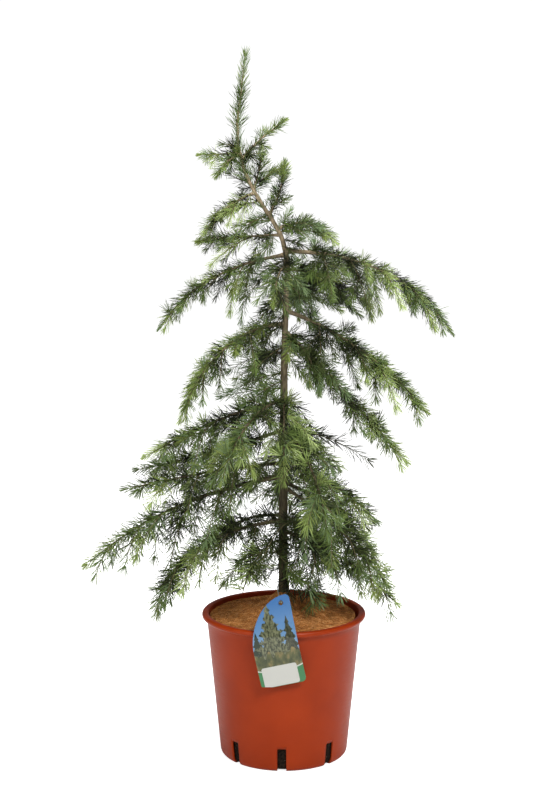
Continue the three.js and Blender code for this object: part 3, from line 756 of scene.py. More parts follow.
class Effects:
    """The shader node groups that the finishes share, each one noise and what is made of it."""

    @staticmethod
    def _group(name: str, inputs: tuple[str, ...], output: str,
               kind: str) -> tuple[NodeTree, Node, Node, Node]:
        """A new node group with a noise that reads its vector and its scale.

        Args:
            name: The group's name.
            inputs: The names of its number inputs, after its vector and scale.
            output: The name of its output.
            kind: The type of the output's socket.

        Returns:
            The group, its input node, its output node and the noise.
        """
        group = bpy.data.node_groups.new(name, "ShaderNodeTree")
        group.interface.new_socket("Vector", in_out="INPUT", socket_type="NodeSocketVector")
        for label in ("Scale", *inputs):
            group.interface.new_socket(label, in_out="INPUT", socket_type="NodeSocketFloat")
        group.interface.new_socket(output, in_out="OUTPUT", socket_type=kind)
        start, end = group.nodes.new("NodeGroupInput"), group.nodes.new("NodeGroupOutput")
        texture = group.nodes.new("ShaderNodeTexNoise")
        for label in ("Vector", "Scale"):
            group.links.new(start.outputs[label], texture.inputs[label])
        return group, start, end, texture

    @staticmethod
    def mottle() -> NodeTree:
        """Soft uneven patches: noise spread from a low to a high value.

        Returns:
            The node group.
        """
        group, start, end, patches = Effects._group("mottle", ("Detail", "Low", "High"), "Value",
                                                    "NodeSocketFloat")
        spread = group.nodes.new("ShaderNodeMapRange")
        spread.inputs["From Min"].default_value = 0.3
        spread.inputs["From Max"].default_value = 0.7
        group.links.new(start.outputs["Detail"], patches.inputs["Detail"])
        group.links.new(patches.outputs["Fac"], spread.inputs["Value"])
        group.links.new(start.outputs["Low"], spread.inputs["To Min"])
        group.links.new(start.outputs["High"], spread.inputs["To Max"])
        group.links.new(spread.outputs["Result"], end.inputs["Value"])
        return group

    @staticmethod
    def relief() -> NodeTree:
        """Fine bumps from noise, as a normal.

        Returns:
            The node group.
        """
        group, start, end, bumps = Effects._group("relief", ("Strength", "Distance"), "Normal",
                                                  "NodeSocketVector")
        bumps.inputs["Detail"].default_value = 6.0
        lift = group.nodes.new("ShaderNodeBump")
        for label in ("Strength", "Distance"):
            group.links.new(start.outputs[label], lift.inputs[label])
        group.links.new(bumps.outputs["Fac"], lift.inputs["Height"])
        group.links.new(lift.outputs["Normal"], end.inputs["Normal"])
        return group


class Wiring:
    """A material under construction: its nodes, and short ways to add and join them."""

    def __init__(self, name: str, roughness: float, specular: float = 0.5) -> None:
        """Starts a material with one Principled shader.

        Args:
            name: The material's name.
            roughness: The shader's roughness.
            specular: The shader's specular level.
        """
        self.material = bpy.data.materials.new(name)
        self.material.use_nodes = True
        self.nodes = self.material.node_tree.nodes
        self.links = self.material.node_tree.links
        self.shader = self.nodes["Principled BSDF"]
        self.shader.inputs["Roughness"].default_value = roughness
        self.shader.inputs["Specular IOR Level"].default_value = specular

    def place(self, scale: Triple = (1, 1, 1), location: Triple = (0, 0, 0),
              turn: Triple = (0, 0, 0), kind: str = "POINT") -> NodeSocket:
        """Object coordinates through a Mapping node.

        Args:
            scale: The mapping's scale.
            location: The mapping's location.
            turn: The mapping's rotation, in radians.
            kind: The mapping's vector type.

        Returns:
            The mapped vector's socket.
        """
        coordinates = self.nodes.new("ShaderNodeTexCoord")
        mapping = self.nodes.new("ShaderNodeMapping")
        mapping.vector_type = kind
        mapping.inputs["Location"].default_value = location
        mapping.inputs["Rotation"].default_value = turn
        mapping.inputs["Scale"].default_value = scale
        self.links.new(coordinates.outputs["Object"], mapping.inputs["Vector"])
        return mapping.outputs["Vector"]

    def _effect(self, name: str, make: Callable[[], NodeTree], vector: NodeSocket,
                **values: float) -> NodeSocket:
        """Adds a shared group with its values.

        Args:
            name: The group's name.
            make: What makes the group at its first use.
            vector: The socket of its vector.
            **values: Its number inputs.

        Returns:
            The group's output socket.
        """
        node = self.nodes.new("ShaderNodeGroup")
        node.node_tree = bpy.data.node_groups.get(name) or make()
        self.links.new(vector, node.inputs["Vector"])
        for label, value in values.items():
            node.inputs[label].default_value = value
        return node.outputs[0]

    def mottle(self, vector: NodeSocket, scale: float, detail: float, low: float = 0.0,
               high: float = 1.0) -> NodeSocket:
        """Soft uneven patches between a low and a high value, by their scale and detail."""
        return self._effect("mottle", Effects.mottle, vector, Scale=scale, Detail=detail, Low=low,
                            High=high)

    def relief(self, vector: NodeSocket, scale: float, strength: float, distance: float) -> NodeSocket:
        """The normal of fine bumps, by their scale, strength and depth in metres."""
        return self._effect("relief", Effects.relief, vector, Scale=scale, Strength=strength,
                            Distance=distance)

    def ramp(self, factor: NodeSocket, *stops: Stop) -> NodeSocket:
        """Colours along a factor.

        Args:
            factor: The socket that is read.
            *stops: Each a place from 0 to 1 and its colour.

        Returns:
            The colour's socket.
        """
        node = self.nodes.new("ShaderNodeValToRGB")
        elements = node.color_ramp.elements
        elements[0].position, elements[1].position = stops[0][0], stops[-1][0]
        elements[0].color, elements[1].color = (*stops[0][1], 1), (*stops[-1][1], 1)
        for place, colour in stops[1:-1]:
            elements.new(place).color = (*colour, 1)
        self.links.new(factor, node.inputs["Fac"])
        return node.outputs["Color"]

    def _feed(self, socket: NodeSocket, value: Source) -> None:
        """Joins a socket to another one, or gives it a number or a colour.

        Args:
            socket: The socket that is fed.
            value: A socket, a number or a colour.
        """
        if isinstance(value, NodeSocket):
            self.links.new(value, socket)
        else:
            socket.default_value = (*value, 1) if isinstance(value, tuple) else value

    def mix(self, factor: Source, low: Source, high: Source, blend_type: str = "MIX") -> NodeSocket:
        """A mix of two colours.

        Args:
            factor: How much there is of the second colour, a socket or a number.
            low: The first colour, or its socket.
            high: The second colour, or its socket.
            blend_type: How they are mixed.

        Returns:
            The colour's socket.
        """
        node = self.nodes.new("ShaderNodeMix")
        node.data_type = "RGBA"
        node.blend_type = blend_type
        for place, value in ((0, factor), (6, low), (7, high)):
            self._feed(node.inputs[place], value)
        return node.outputs[2]

    def math(self, operation: str, *values: Source) -> NodeSocket:
        """A sum on up to three sockets or numbers.

        Args:
            operation: The sum.
            *values: What it is done on.

        Returns:
            The result's socket.
        """
        node = self.nodes.new("ShaderNodeMath")
        node.operation = operation
        for socket, value in zip(node.inputs, (*values, 0.0, 0.0)):
            self._feed(socket, value)
        return node.outputs[0]

    def split(self, vector: NodeSocket) -> tuple[NodeSocket, ...]:
        """The three numbers of a vector.

        Args:
            vector: The vector's socket.

        Returns:
            Their sockets.
        """
        node = self.nodes.new("ShaderNodeSeparateXYZ")
        self.links.new(vector, node.inputs[0])
        return tuple(node.outputs)

    def finish(self, colour: NodeSocket, roughness: NodeSocket | None = None,
               normal: NodeSocket | None = None) -> Material:
        """Joins the results to the shader.

        Args:
            colour: The base colour's socket.
            roughness: The roughness's socket, if it varies.
            normal: The normal's socket, if there are bumps.

        Returns:
            The material.
        """
        results = (("Base Color", colour), ("Roughness", roughness), ("Normal", normal))
        for label, socket in results:
            if socket is not None:
                self.links.new(socket, self.shader.inputs[label])
        return self.material


@dataclass(frozen=True)
class PlainFinish:
    """A plain tint for needles or twigs."""

    name: str
    colour: Triple
    roughness: float = 0.55
    specular: float = 0.22

    def material(self) -> Material:
        """Makes the finish's material.

        Returns:
            The material.
        """
        wiring = Wiring(self.name, self.roughness, self.specular)
        wiring.shader.inputs["Base Color"].default_value = (*self.colour, 1)
        return wiring.material


@dataclass(frozen=True)
class Finish:
    """A textured finish: colours along a noise, uneven gloss and fine bumps.

    Patches are the colours' scale and detail. Gloss is the same for the roughness with its low and
    high value, and bumps are a scale, a strength and a depth in metres; either may be left out. Drag
    and grain are how far these two are drawn out.
    """

    name: str = ""
    roughness: float = 0.5
    specular: float = 0.1
    stops: tuple[Stop, ...] = ()
    patches: Pair = (1.0, 1.0)
    gloss: tuple[float, ...] = ()
    bumps: tuple[float, ...] = ()
    drag: Triple = (1, 1, 1)
    grain: Triple = (1, 1, 1)

    def material(self) -> Material:
        """Makes the finish's material.

        Returns:
            The material.
        """
        wiring = Wiring(self.name, self.roughness, self.specular)
        colour = self._colour(wiring, wiring.place())
        gloss = wiring.mottle(wiring.place(self.drag), *self.gloss) if self.gloss else None
        normal = wiring.relief(wiring.place(self.grain), *self.bumps) if self.bumps else None
        return wiring.finish(colour, gloss, normal)

    def _colour(self, wiring: Wiring, place: NodeSocket) -> NodeSocket:
        """The base colour at a place."""
        return wiring.ramp(wiring.mottle(place, *self.patches), *self.stops)


@dataclass(frozen=True)
class BarkFinish(Finish):
    """Young bark: darker towards the foot, tan where the leader bends over."""

    name: str = "young_bark"
    roughness: float = 0.78
    specular: float = 0.25
    stops: tuple[Stop, ...] = ((0.0, (0.060, 0.052, 0.026)), (0.35, (0.092, 0.072, 0.040)),
                               (0.8, (0.290, 0.225, 0.140)))
    patches: Pair = (70.0, 3.0)
    bumps: tuple[float, ...] = (650.0, 0.6, 0.0006)
    grain: Triple = (1, 1, 0.35)
    foot: float = 0.26

    def _colour(self, wiring: Wiring, place: NodeSocket) -> NodeSocket:
        """Colours by the height over the soil, with long streaks and patches.

        Args:
            wiring: The material under construction.
            place: The socket of the place.

        Returns:
            The colour's socket.
        """
        height = wiring.math("SUBTRACT", wiring.split(place)[2], self.foot)
        climb = wiring.ramp(height, *self.stops)
        streaks = wiring.mottle(wiring.place((1, 1, 0.18)), 420.0, 5.0, 0.45, 1.5)
        tone = wiring.math("MULTIPLY", streaks, wiring.mottle(place, *self.patches, 0.7, 1.3))
        grey = wiring.nodes.new("ShaderNodeCombineColor")
        for channel in grey.inputs:
            wiring.links.new(tone, channel)
        return wiring.mix(1.0, climb, grey.outputs[0], "MULTIPLY")


@dataclass(frozen=True)
class PotFinish(Finish):
    """Moulded plastic the colour of terracotta: satin, slightly uneven, faintly scuffed."""

    name: str = "terracotta_plastic"
    roughness: float = 0.36
    specular: float = 0.13
    stops: tuple[Stop, ...] = ((0.0, (0.235, 0.0225, 0.0012)), (1.0, (0.285, 0.0290, 0.0020)))
    patches: Pair = (14.0, 3.0)
    gloss: tuple[float, ...] = (60.0, 6.0, 0.30, 0.46)
    bumps: tuple[float, ...] = (900.0, 0.12, 0.0002)
    drag: Triple = (1, 1, 14)


@dataclass(frozen=True)
class FeltFinish(Finish):
    """Coir felt: pressed brown fibres, lighter and darker by a fine noise."""

    name: str = "coir_felt"
    roughness: float = 0.95
    stops: tuple[Stop, ...] = ((0.1, (0.220, 0.082, 0.019)), (0.5, (0.530, 0.218, 0.058)),
                               (0.95, (0.760, 0.380, 0.125)))
    patches: Pair = (480.0, 8.0)
    bumps: tuple[float, ...] = (700.0, 0.9, 0.0012)

    def _colour(self, wiring: Wiring, place: NodeSocket) -> NodeSocket:
        """The fibres' colours, with large dark patches."""
        shade = wiring.mottle(place, 28.0, 3.0, 0.0, 0.45)
        return wiring.mix(shade, super()._colour(wiring, place), self.stops[0][1])


@dataclass(frozen=True)
class CompostFinish(Finish):
    """Potting compost: crumbs darkened below their own colour as painted shade inside the pot, with a
    few pale grains.
    """

    name: str = "compost"
    roughness: float = 0.96
    # The crumbs' colours, darkened as painted shade inside the pot.
    stops: tuple[Stop, ...] = ((0.2, (0.003, 0.002, 0.0015)), (0.85, (0.020, 0.013, 0.008)))
    patches: Pair = (260.0, 7.0)
    bumps: tuple[float, ...] = (300.0, 1.0, 0.002)
    pale: Triple = (0.10, 0.09, 0.075)

    def _colour(self, wiring: Wiring, place: NodeSocket) -> NodeSocket:
        """The crumbs' colours, with the grains.

        Args:
            wiring: The material under construction.
            place: The socket of the place.

        Returns:
            The colour's socket.
        """
        grains = wiring.nodes.new("ShaderNodeTexVoronoi")
        grains.inputs["Scale"].default_value = 130.0
        wiring.links.new(place, grains.inputs["Vector"])
        is_grain = wiring.math("LESS_THAN", grains.outputs["Distance"], 0.12)
        return wiring.mix(is_grain, super()._colour(wiring, place), self.pale)


@dataclass(frozen=True)
class SoftPlastic(Finish):
    """The tie's thin plastic, dull and slightly uneven."""

    name: str = "tie_plastic"
    roughness: float = 0.4
    specular: float = 0.5
    stops: tuple[Stop, ...] = ((0.0, (0.10, 0.13, 0.10)), (1.0, (0.22, 0.26, 0.21)))
    patches: Pair = (150.0, 3.0)
    gloss: tuple[float, ...] = (400.0, 3.0, 0.3, 0.5)


@dataclass(frozen=True)
class PrintedCard:
    """The label's print: sky, a row of conifers, a green band and a bare white panel."""

    name: str = "printed_label"
    centre: float = 0.001
    foot: float = 0.170
    lean: float = 12.0
    width: float = 0.080
    height: float = 0.155
    corner: float = 0.004

    def material(self) -> Material:
        """Makes the finish's material.

        Returns:
            The material.
        """
        wiring = Wiring(self.name, 0.28, 0.5)
        place = wiring.place((self.width, 1, self.height), (self.centre, 0, self.foot),
                             (0, -math.radians(self.lean), 0), "TEXTURE")
        across, _, up = wiring.split(place)
        colour = wiring.ramp(up, (0.35, (0.15, 0.26, 0.38)), (0.95, (0.030, 0.115, 0.29)))
        far = (0.010, 0.020, 0.009)
        trees = ((-0.38, 0.68, 0.60, far), (0.34, 0.80, 0.52, self._foliage(wiring, place, 0.16)),
                 (-0.04, 0.95, 0.80, self._foliage(wiring, place, 0.42)))
        for centre, top, spread, green in trees:
            colour = wiring.mix(self._tree(wiring, place, centre, top, spread), colour, green)
        brush = wiring.mottle(place, 9.0, 8.0)
        meadow = wiring.ramp(brush, (0.1, (0.020, 0.030, 0.008)), (0.6, (0.070, 0.075, 0.022)),
                             (1.0, (0.200, 0.150, 0.055)))
        edge = wiring.math("MULTIPLY_ADD", brush, 0.12, 0.33)
        colour = wiring.mix(wiring.math("LESS_THAN", up, edge), colour, meadow)
        for height, band in ((0.200, (0.42, 0.44, 0.38)), (0.185, (0.024, 0.140, 0.045))):
            colour = wiring.mix(self._below(wiring, across, up, height), colour, band)
        return wiring.finish(wiring.mix(self._panel(wiring, across, up), colour, (0.42, 0.42, 0.385)))

    def _foliage(self, wiring: Wiring, place: NodeSocket, light: float) -> NodeSocket:
        """The mottled green of a printed conifer."""
        return wiring.ramp(wiring.mottle(place, 26.0, 8.0), (0.2, (0.010, 0.014, 0.006)),
                           (0.85, (0.36 * light, 0.38 * light, 0.20 * light)))

    def _tree(self, wiring: Wiring, place: NodeSocket, centre: float, top: float,
              spread: float) -> NodeSocket:
        """The mask of one conifer: a cone with ragged tiers.

        Args:
            wiring: The material under construction.
            place: The socket of the place on the label.
            centre: Where its trunk stands.
            top: The height of its tip.
            spread: How wide it is at the label's foot.

        Returns:
            The mask's socket.
        """
        across, _, up = wiring.split(place)
        ragged = wiring.mottle(place, 24.0, 8.0, 0.35 * spread, 0.85 * spread)
        off = wiring.math("ABSOLUTE", wiring.math("SUBTRACT", across, centre))
        drop = wiring.math("SUBTRACT", top, up)
        steps = wiring.math("MULTIPLY_ADD", off, 3.0, wiring.math("MULTIPLY", drop, 10.0))
        tiers = wiring.math("MULTIPLY_ADD", wiring.math("FRACT", steps), 0.45 * spread, ragged)
        return wiring.math("LESS_THAN", off, wiring.math("MULTIPLY", drop, tiers))

    def _below(self, wiring: Wiring, across: NodeSocket, up: NodeSocket, height: float) -> NodeSocket:
        """The mask of what lies below a shallow curve."""
        bow = wiring.math("MULTIPLY", across, across)
        return wiring.math("LESS_THAN", up, wiring.math("MULTIPLY_ADD", bow, 0.18, height - 0.02))

    def _panel(self, wiring: Wiring, across: NodeSocket, up: NodeSocket) -> NodeSocket:
        """The mask of the white panel with round corners.

        Args:
            wiring: The material under construction.
            across: The socket of the place across the label.
            up: The socket of the place up the label.

        Returns:
            The mask's socket.
        """
        squares = []
        sides = ((across, -0.03, 0.34, self.width), (up, 0.125, 0.095, self.height))
        for where, middle, half, size in sides:
            off = wiring.math("ABSOLUTE", wiring.math("SUBTRACT", where, middle))
            past = wiring.math("MULTIPLY", wiring.math("SUBTRACT", off, half), size)
            squares.append(wiring.math("POWER", wiring.math("MAXIMUM", past, 0.0), 2.0))
        return wiring.math("LESS_THAN", wiring.math("SQRT", wiring.math("ADD", *squares)), self.corner)


@dataclass
class Woodwork:
    """The trunk and the limbs: tapering tubes with the bark's relief."""

    growth: Growth
    trunk_sides: int = 18
    trunk_ring: float = 3.2
    trunk_seed: float = 3.0
    slim_heights: Pair = (600, 900)
    slim: float = 0.82
    limb_sides: int = 9
    limb_ring: float = 5.5
    limb_seed: float = 7.0

    def _tube(self, path: Path, rings: int, sides: int, radius: Callable[[float], float],
              seed: float) -> Mesh:
        """A tube with rough bark along a path.

        Args:
            path: Its centre line, in mm.
            rings: How many rings it has.
            sides: How many sides it has.
            radius: The radius in mm at a distance.
            seed: Where in the noise its relief is read.

        Returns:
            The tube's mesh, in metres.
        """
        bm = bmesh.new()
        distances = np.linspace(0.0, path.length, rings + 1)
        ways = path.ahead(distances)
        side = square_pair(ways[0])[0]
        last, edges = None, []
        for place, way, distance in zip(path.at(distances), ways, distances):
            side = unit(side - way * np.dot(side, way))
            axes = np.stack((side, np.cross(way, side), way), axis=1) * (radius(float(distance)) * MM)
            here = Matrix.Translation(Vector(place * MM)) @ Matrix(axes.tolist()).to_4x4()
            if last is None:
                bmesh.ops.create_circle(bm, segments=sides, radius=1.0, cap_ends=True, matrix=here)
                edges = bm.edges[:]
            else:
                grown = bmesh.ops.extrude_edge_only(bm, edges=edges)["geom"]
                moved = [item for item in grown if isinstance(item, bmesh.types.BMVert)]
                edges = [item for item in grown if isinstance(item, bmesh.types.BMEdge)
                         and all(vert in moved for vert in item.verts)]
                bmesh.ops.transform(bm, matrix=here @ last.inverted(), verts=moved)
            last = here
        bmesh.ops.contextual_create(bm, geom=edges)
        bmesh.ops.recalc_face_normals(bm, faces=bm.faces)
        bm.normal_update()
        self._roughen(bm, path, seed)
        mesh = bpy.data.meshes.new("tube")
        bm.to_mesh(mesh)
        bm.free()
        return mesh

    def _roughen(self, bm: BMesh, path: Path, seed: float) -> None:
        """Raises the bark: long ridges, small lumps and the scars of old needles.

        Args:
            bm: The smooth tube, in metres.
            path: Its centre line, in mm.
            seed: Where in the noise its relief is read.
        """
        middle = Vector(path.at(path.length / 2) * MM)
        for vert in bm.verts:
            spot = (vert.co - middle) * 1000.0
            ridges = noise.noise(Vector((spot.x * 0.33, spot.y * 0.33, spot.z * 0.07 + seed)))
            lumps = noise.noise(Vector((spot.x * 0.9, spot.y * 0.9, spot.z * 0.45 - seed)))
            scars = max(0.0, noise.noise(spot * 0.16 + Vector((seed, 0, 0))) - 0.25)
            vert.co += vert.normal * MM * (0.34 * ridges + 0.3 * lumps + 0.8 * scars)

    def build(self, bark: Material) -> None:
        """Makes the trunk and the limbs.

        Args:
            bark: Their material.
        """
        trunk = self.growth.trunk
        mesh = self._tube(trunk, int(trunk.length / self.trunk_ring), self.trunk_sides,
                          self._trunk_radius, self.trunk_seed)
        self._dress("trunk_bark", [mesh], bark, "trunk")
        limbs = []
        for i, limb in enumerate(self.growth.limbs):
            rings = int(limb.path.length / self.limb_ring)
            radius = self._limb_radius(limb.branch)
            limbs.append(self._tube(limb.path, rings, self.limb_sides, radius, self.limb_seed * i))
        boughs = [f"{limb.branch.name}_bough" for limb in self.growth.limbs if limb.branch.bare > 0]
        self._dress("limbs_bark", limbs, bark, *boughs)

    def _trunk_radius(self, distance: float) -> float:
        """The trunk's radius at a distance along it, a little slimmer than the solid above.

        Args:
            distance: The distance, in mm.

        Returns:
            The radius, in mm.
        """
        height = self.growth.trunk.at(distance)[2]
        radius = np.interp(height, [bend[0] for bend in TRUNK_BENDS], [bend[3] for bend in TRUNK_BENDS])
        return float(radius * np.interp(height, self.slim_heights, (1.0, self.slim)))

    def _limb_radius(self, branch: Branch) -> Callable[[float], float]:
        """The radius rule of a limb, with the collar where it leaves the trunk.

        Args:
            branch: The limb's branch.

        Returns:
            What gives the radius at a distance along the limb, in mm.
        """
        def radius(distance: float) -> float:
            """The limb's radius at a distance along it."""
            collar = 1.0 + 0.45 * math.exp(-max(0.0, distance - 6.0) / 5.0)
            return branch.radius(min(1.0, distance / branch.length)) * collar
        return radius

    def _dress(self, name: str, meshes: list[Mesh], bark: Material, *nodes: str) -> None:
        """Joins meshes into one piece that stands for the nodes.

        Args:
            name: The piece's name.
            meshes: The meshes, in metres.
            bark: Its material.
            *nodes: The CAD nodes.
        """
        bm = bmesh.new()
        for mesh in meshes:
            bm.from_mesh(mesh)
            bpy.data.meshes.remove(mesh)
        settle(bmesh_object(name, bm, bark), Slot.BARK, *nodes)


def settle(piece: Object, slot: Slot, *nodes: str) -> None:
    """Lets a piece ride on the body and stand for its nodes, and reports it.

    Args:
        piece: The finished piece.
        slot: Not used.
        *nodes: The CAD nodes that it stands for.
    """
    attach(piece, "root")
    if nodes:
        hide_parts(*nodes)
    LOG.info("%s: %d faces, stands for %d nodes", piece.name, len(piece.data.polygons), len(nodes))


@dataclass
class Crown:
    """The needles and fine twigs of the crown, joined into a few pieces.

    Lengths are in mm and angles in degrees. Old needles stand in tufts, young ones singly along a
    twig's fresh end, and a crest of them at its tip. The leans are how far each kind stands out from
    its twig: the range of a draw, but for the young ones a mean and a deviation.
    """

    growth: Growth
    needle_length: float = 32.0
    length_range: Pair = (0.72, 1.12)
    needle_radius: float = 0.56
    needle_rings: tuple[Pair, ...] = ((0.12, 0.85), (0.74, 1.0))
    young_spacing: float = 1.25
    tuft_spacing: float = 10.5
    tuft_needles: int = 16
    crest_needles: int = 10
    old_lean: Pair = (25, 84)
    young_lean: Pair = (52, 10)
    crest_lean: Pair = (6, 56)
    # How often the outer twigs' young needles take a second lighter step: partly fresh growth, partly
    # painted light.
    bright_share: float = 0.45
    darker_share: float = 0.28
    lighter_share: float = 0.20
    twig_sides: int = 4
    twig_ring: float = 14.0
    proud: float = 14.0
    felt_top: float = 262.0
    twig_low: float = 266.0
    lip_room: Pair = (168.0, 268.0)
    label_room: Triple = (52.0, -105.0, 336.0)
    bare_x: Pair = (-150.0, -8.0)
    bare_front: float = -10.0
    bare_top: float = 302.0
    bare_slope: float = 0.26
    seed: int = 909

    def build(self) -> None:
        """Makes the twigs and each storey's needles."""
        self.random = np.random.default_rng(self.seed)
        low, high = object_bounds()
        self.low = np.array(low) * 1000 - self.proud
        self.high = np.array(high) * 1000 + self.proud
        tints = [PlainFinish(f"needles_{tint.name.lower()}", tint.value).material() for tint in Tint]
        self._twigs()
        stations = {tier: [] for tier in Tier}
        for twig in self.growth.twigs:
            stations[twig.tier].append(self._needles_of(twig))
        for tier, rows in stations.items():
            self._needle_piece(tier, np.concatenate(rows), tints)

    def _needles_of(self, twig: Twig) -> np.ndarray:
        """Where each needle of a twig stands and how.

        Args:
            twig: The twig.

        Returns:
            Rows of root place (3), direction (3), the twig's way ahead (3), length and tint index.
        """
        random, storey, length = self.random, twig.tier.value, twig.path.length
        taper = storey.taper * twig.taper
        dense = storey.dense * twig.dense
        fresh_from = max(0.0, min(length * (1 - twig.fresh), length - 12.0))
        tufts = np.arange(random.uniform(2.0, 8.0), fresh_from, self.tuft_spacing / dense)
        tufts = tufts + random.normal(0, 1.6, len(tufts))
        old = np.repeat(tufts, self.tuft_needles)
        old = old + random.normal(0, 0.5, len(old))
        young = np.arange(fresh_from, length + 0.5, self.young_spacing / dense)
        crest = np.full(self.crest_needles, length) - random.uniform(0, 1.5, self.crest_needles)
        distance = np.clip(np.concatenate((old, young, crest)), 0, length)
        count = len(distance)
        index = np.arange(count)
        is_old, is_crest = index < len(old), index >= count - len(crest)
        ahead = twig.path.ahead(distance)
        turn = index * GOLDEN_ANGLE + random.uniform(0, 6.28) + random.normal(0, 0.3, count)
        radial = around(*square_pair(ahead), turn[:, None])
        old_lean = random.uniform(*self.old_lean, count)
        young_lean = random.normal(*self.young_lean, count)
        lean = np.where(is_crest, random.uniform(*self.crest_lean, count),
                        np.where(is_old, old_lean, young_lean))
        along = distance / length
        lean = np.radians(lean * storey.lean * (1 - taper * along))
        way = unit(around(ahead, radial, lean[:, None]) + UP * 0.08)
        reach = random.uniform(*self.length_range, count) * np.where(is_old, 0.95, 1.0)
        reach *= self.needle_length * storey.length * twig.stretch * (1 - taper * along**2)
        tints = list(Tint)
        base = tints.index(twig.tint)
        # Young needles are a step lighter, on outer twigs often two, and inner twigs' stay dark: partly
        # fresh growth, partly painted light and shade.
        fresher = 1 + (random.random(count) < self.bright_share * (twig.outer > 0.6))
        tint = np.where(is_old | (twig.outer < 0.3), base, base + fresher)
        chance = random.random(count)
        shift = (chance > 1 - self.lighter_share).astype(int) - (chance < self.darker_share)
        tint = np.clip(np.where(is_old, tint + shift, tint), 0, len(tints) - 1)
        return np.column_stack((twig.path.at(distance) + radial * 0.4, way, ahead, reach, tint))

    def _allowed(self, root: np.ndarray, tip: np.ndarray) -> np.ndarray:
        """Which needles stay in the space: inside the box, and clear of pot, felt and label.

        Args:
            root: The needles' roots.
            tip: Their tips.

        Returns:
            True for each needle that stays.
        """
        inside = np.all((tip > self.low) & (tip < self.high), axis=1) & (root[:, 2] > self.felt_top)
        in_pot = (np.hypot(tip[:, 0], tip[:, 1]) < self.lip_room[0]) & (tip[:, 2] < self.lip_room[1])
        half, front, top = self.label_room
        in_label = (np.abs(tip[:, 0]) < half) & (tip[:, 1] < front) & (tip[:, 2] < top)
        return inside & ~in_pot & ~in_label & ~self._over_felt(tip)

    def _over_felt(self, places: np.ndarray) -> np.ndarray:
        """Which places hang low over the felt at the front left, where the photo shows it bare.

        Args:
            places: The places, in mm.

        Returns:
            True for each place that does.
        """
        x, y, z = places.T
        over = (x > self.bare_x[0]) & (x < self.bare_x[1]) & (y < self.bare_front)
        return over & (z < self.bare_top - self.bare_slope * y)

    def _needle_piece(self, tier: Tier, rows: np.ndarray, tints: list[Material]) -> None:
        """One storey's needles as one piece: a root point, two rings of three and a tip each.

        Args:
            tier: The storey.
            rows: The needles, as `_needles_of` gives them.
            tints: The material of each tint.
        """
        way, length = rows[:, 3:6], rows[:, 9:10]
        tip = rows[:, 0:3] + unit(way + rows[:, 6:9] * 0.16) * length
        keep = self._allowed(rows[:, 0:3], tip)
        root, way, length, tip = rows[keep, 0:3], way[keep], length[keep], tip[keep]
        side, lift = square_pair(way)
        bow = (tip - root) - way * length
        corners = [root]
        for share, thick in self.needle_rings:
            middle = root + way * length * share + bow * share**2
            girth = self.needle_radius * tier.value.girth * thick
            corners += [middle + around(side, lift, TURN * k / 3) * girth for k in range(3)]
        points = np.stack((*corners, tip), axis=1).reshape(-1, 3) * MM
        pattern = np.array(((0, 2, 1), (0, 3, 2), (0, 1, 3),
                            (1, 2, 5), (1, 5, 4), (2, 3, 6), (2, 6, 5), (3, 1, 4), (3, 4, 6),
                            (7, 4, 5), (7, 5, 6), (7, 6, 4)))
        triangles = repeated(pattern, 8, len(root))
        places = np.repeat(rows[keep, 10], len(pattern))
        piece = array_object(tier.value.piece, points, triangles, tints, places)
        nodes = [f"{limb.branch.name}_foliage" for limb in self.growth.limbs if limb.tier is tier]
        if tier is Tier.TOP:
            nodes.append("leader_foliage")
        settle(piece, Slot.NEEDLES, *nodes)

    def _twigs(self) -> None:
        """All fine twigs as one piece of slim tapering tubes."""
        points, triangles = [], []
        count = 0
        sides = self.twig_sides
        turn = (TURN * np.arange(sides) / sides)[None, :, None]
        for twig in self.growth.twigs:
            places = twig.path.places
            if not twig.root_radius or places[:, 2].min() < self.twig_low:
                continue
            if self._over_felt(places).any():
                continue
            rings = max(3, int(twig.path.length / self.twig_ring))
            distance = np.linspace(0, twig.path.length, rings + 1)
            places, ahead = twig.path.at(distance), twig.path.ahead(distance)
            side, lift = square_pair(ahead)
            radius = np.linspace(twig.root_radius, twig.tip_radius, rings + 1)[:, None, None]
            outward = around(side[:, None], lift[:, None], turn) * radius
            tube = (places[:, None] + outward).reshape(-1, 3)
            points.append(np.vstack((tube, places[-1] + ahead[-1] * twig.tip_radius, places[0])))
            here = np.arange(sides)
            beside = np.roll(here, -1)
            root, tip = np.full(sides, len(tube) + 1), np.full(sides, len(tube))
            top = rings * sides
            triangles.append(count + np.vstack((
                tube_faces(rings, sides), np.stack((here + top, beside + top, tip), 1),
                np.stack((beside, here, root), 1))))
            count += len(points[-1])
        finish = PlainFinish("young_twigs", (0.135, 0.115, 0.058), 0.7, 0.2).material()
        piece = array_object("twigs", np.vstack(points) * MM, np.vstack(triangles), [finish],
                             smooth=True)
        settle(piece, Slot.BARK)


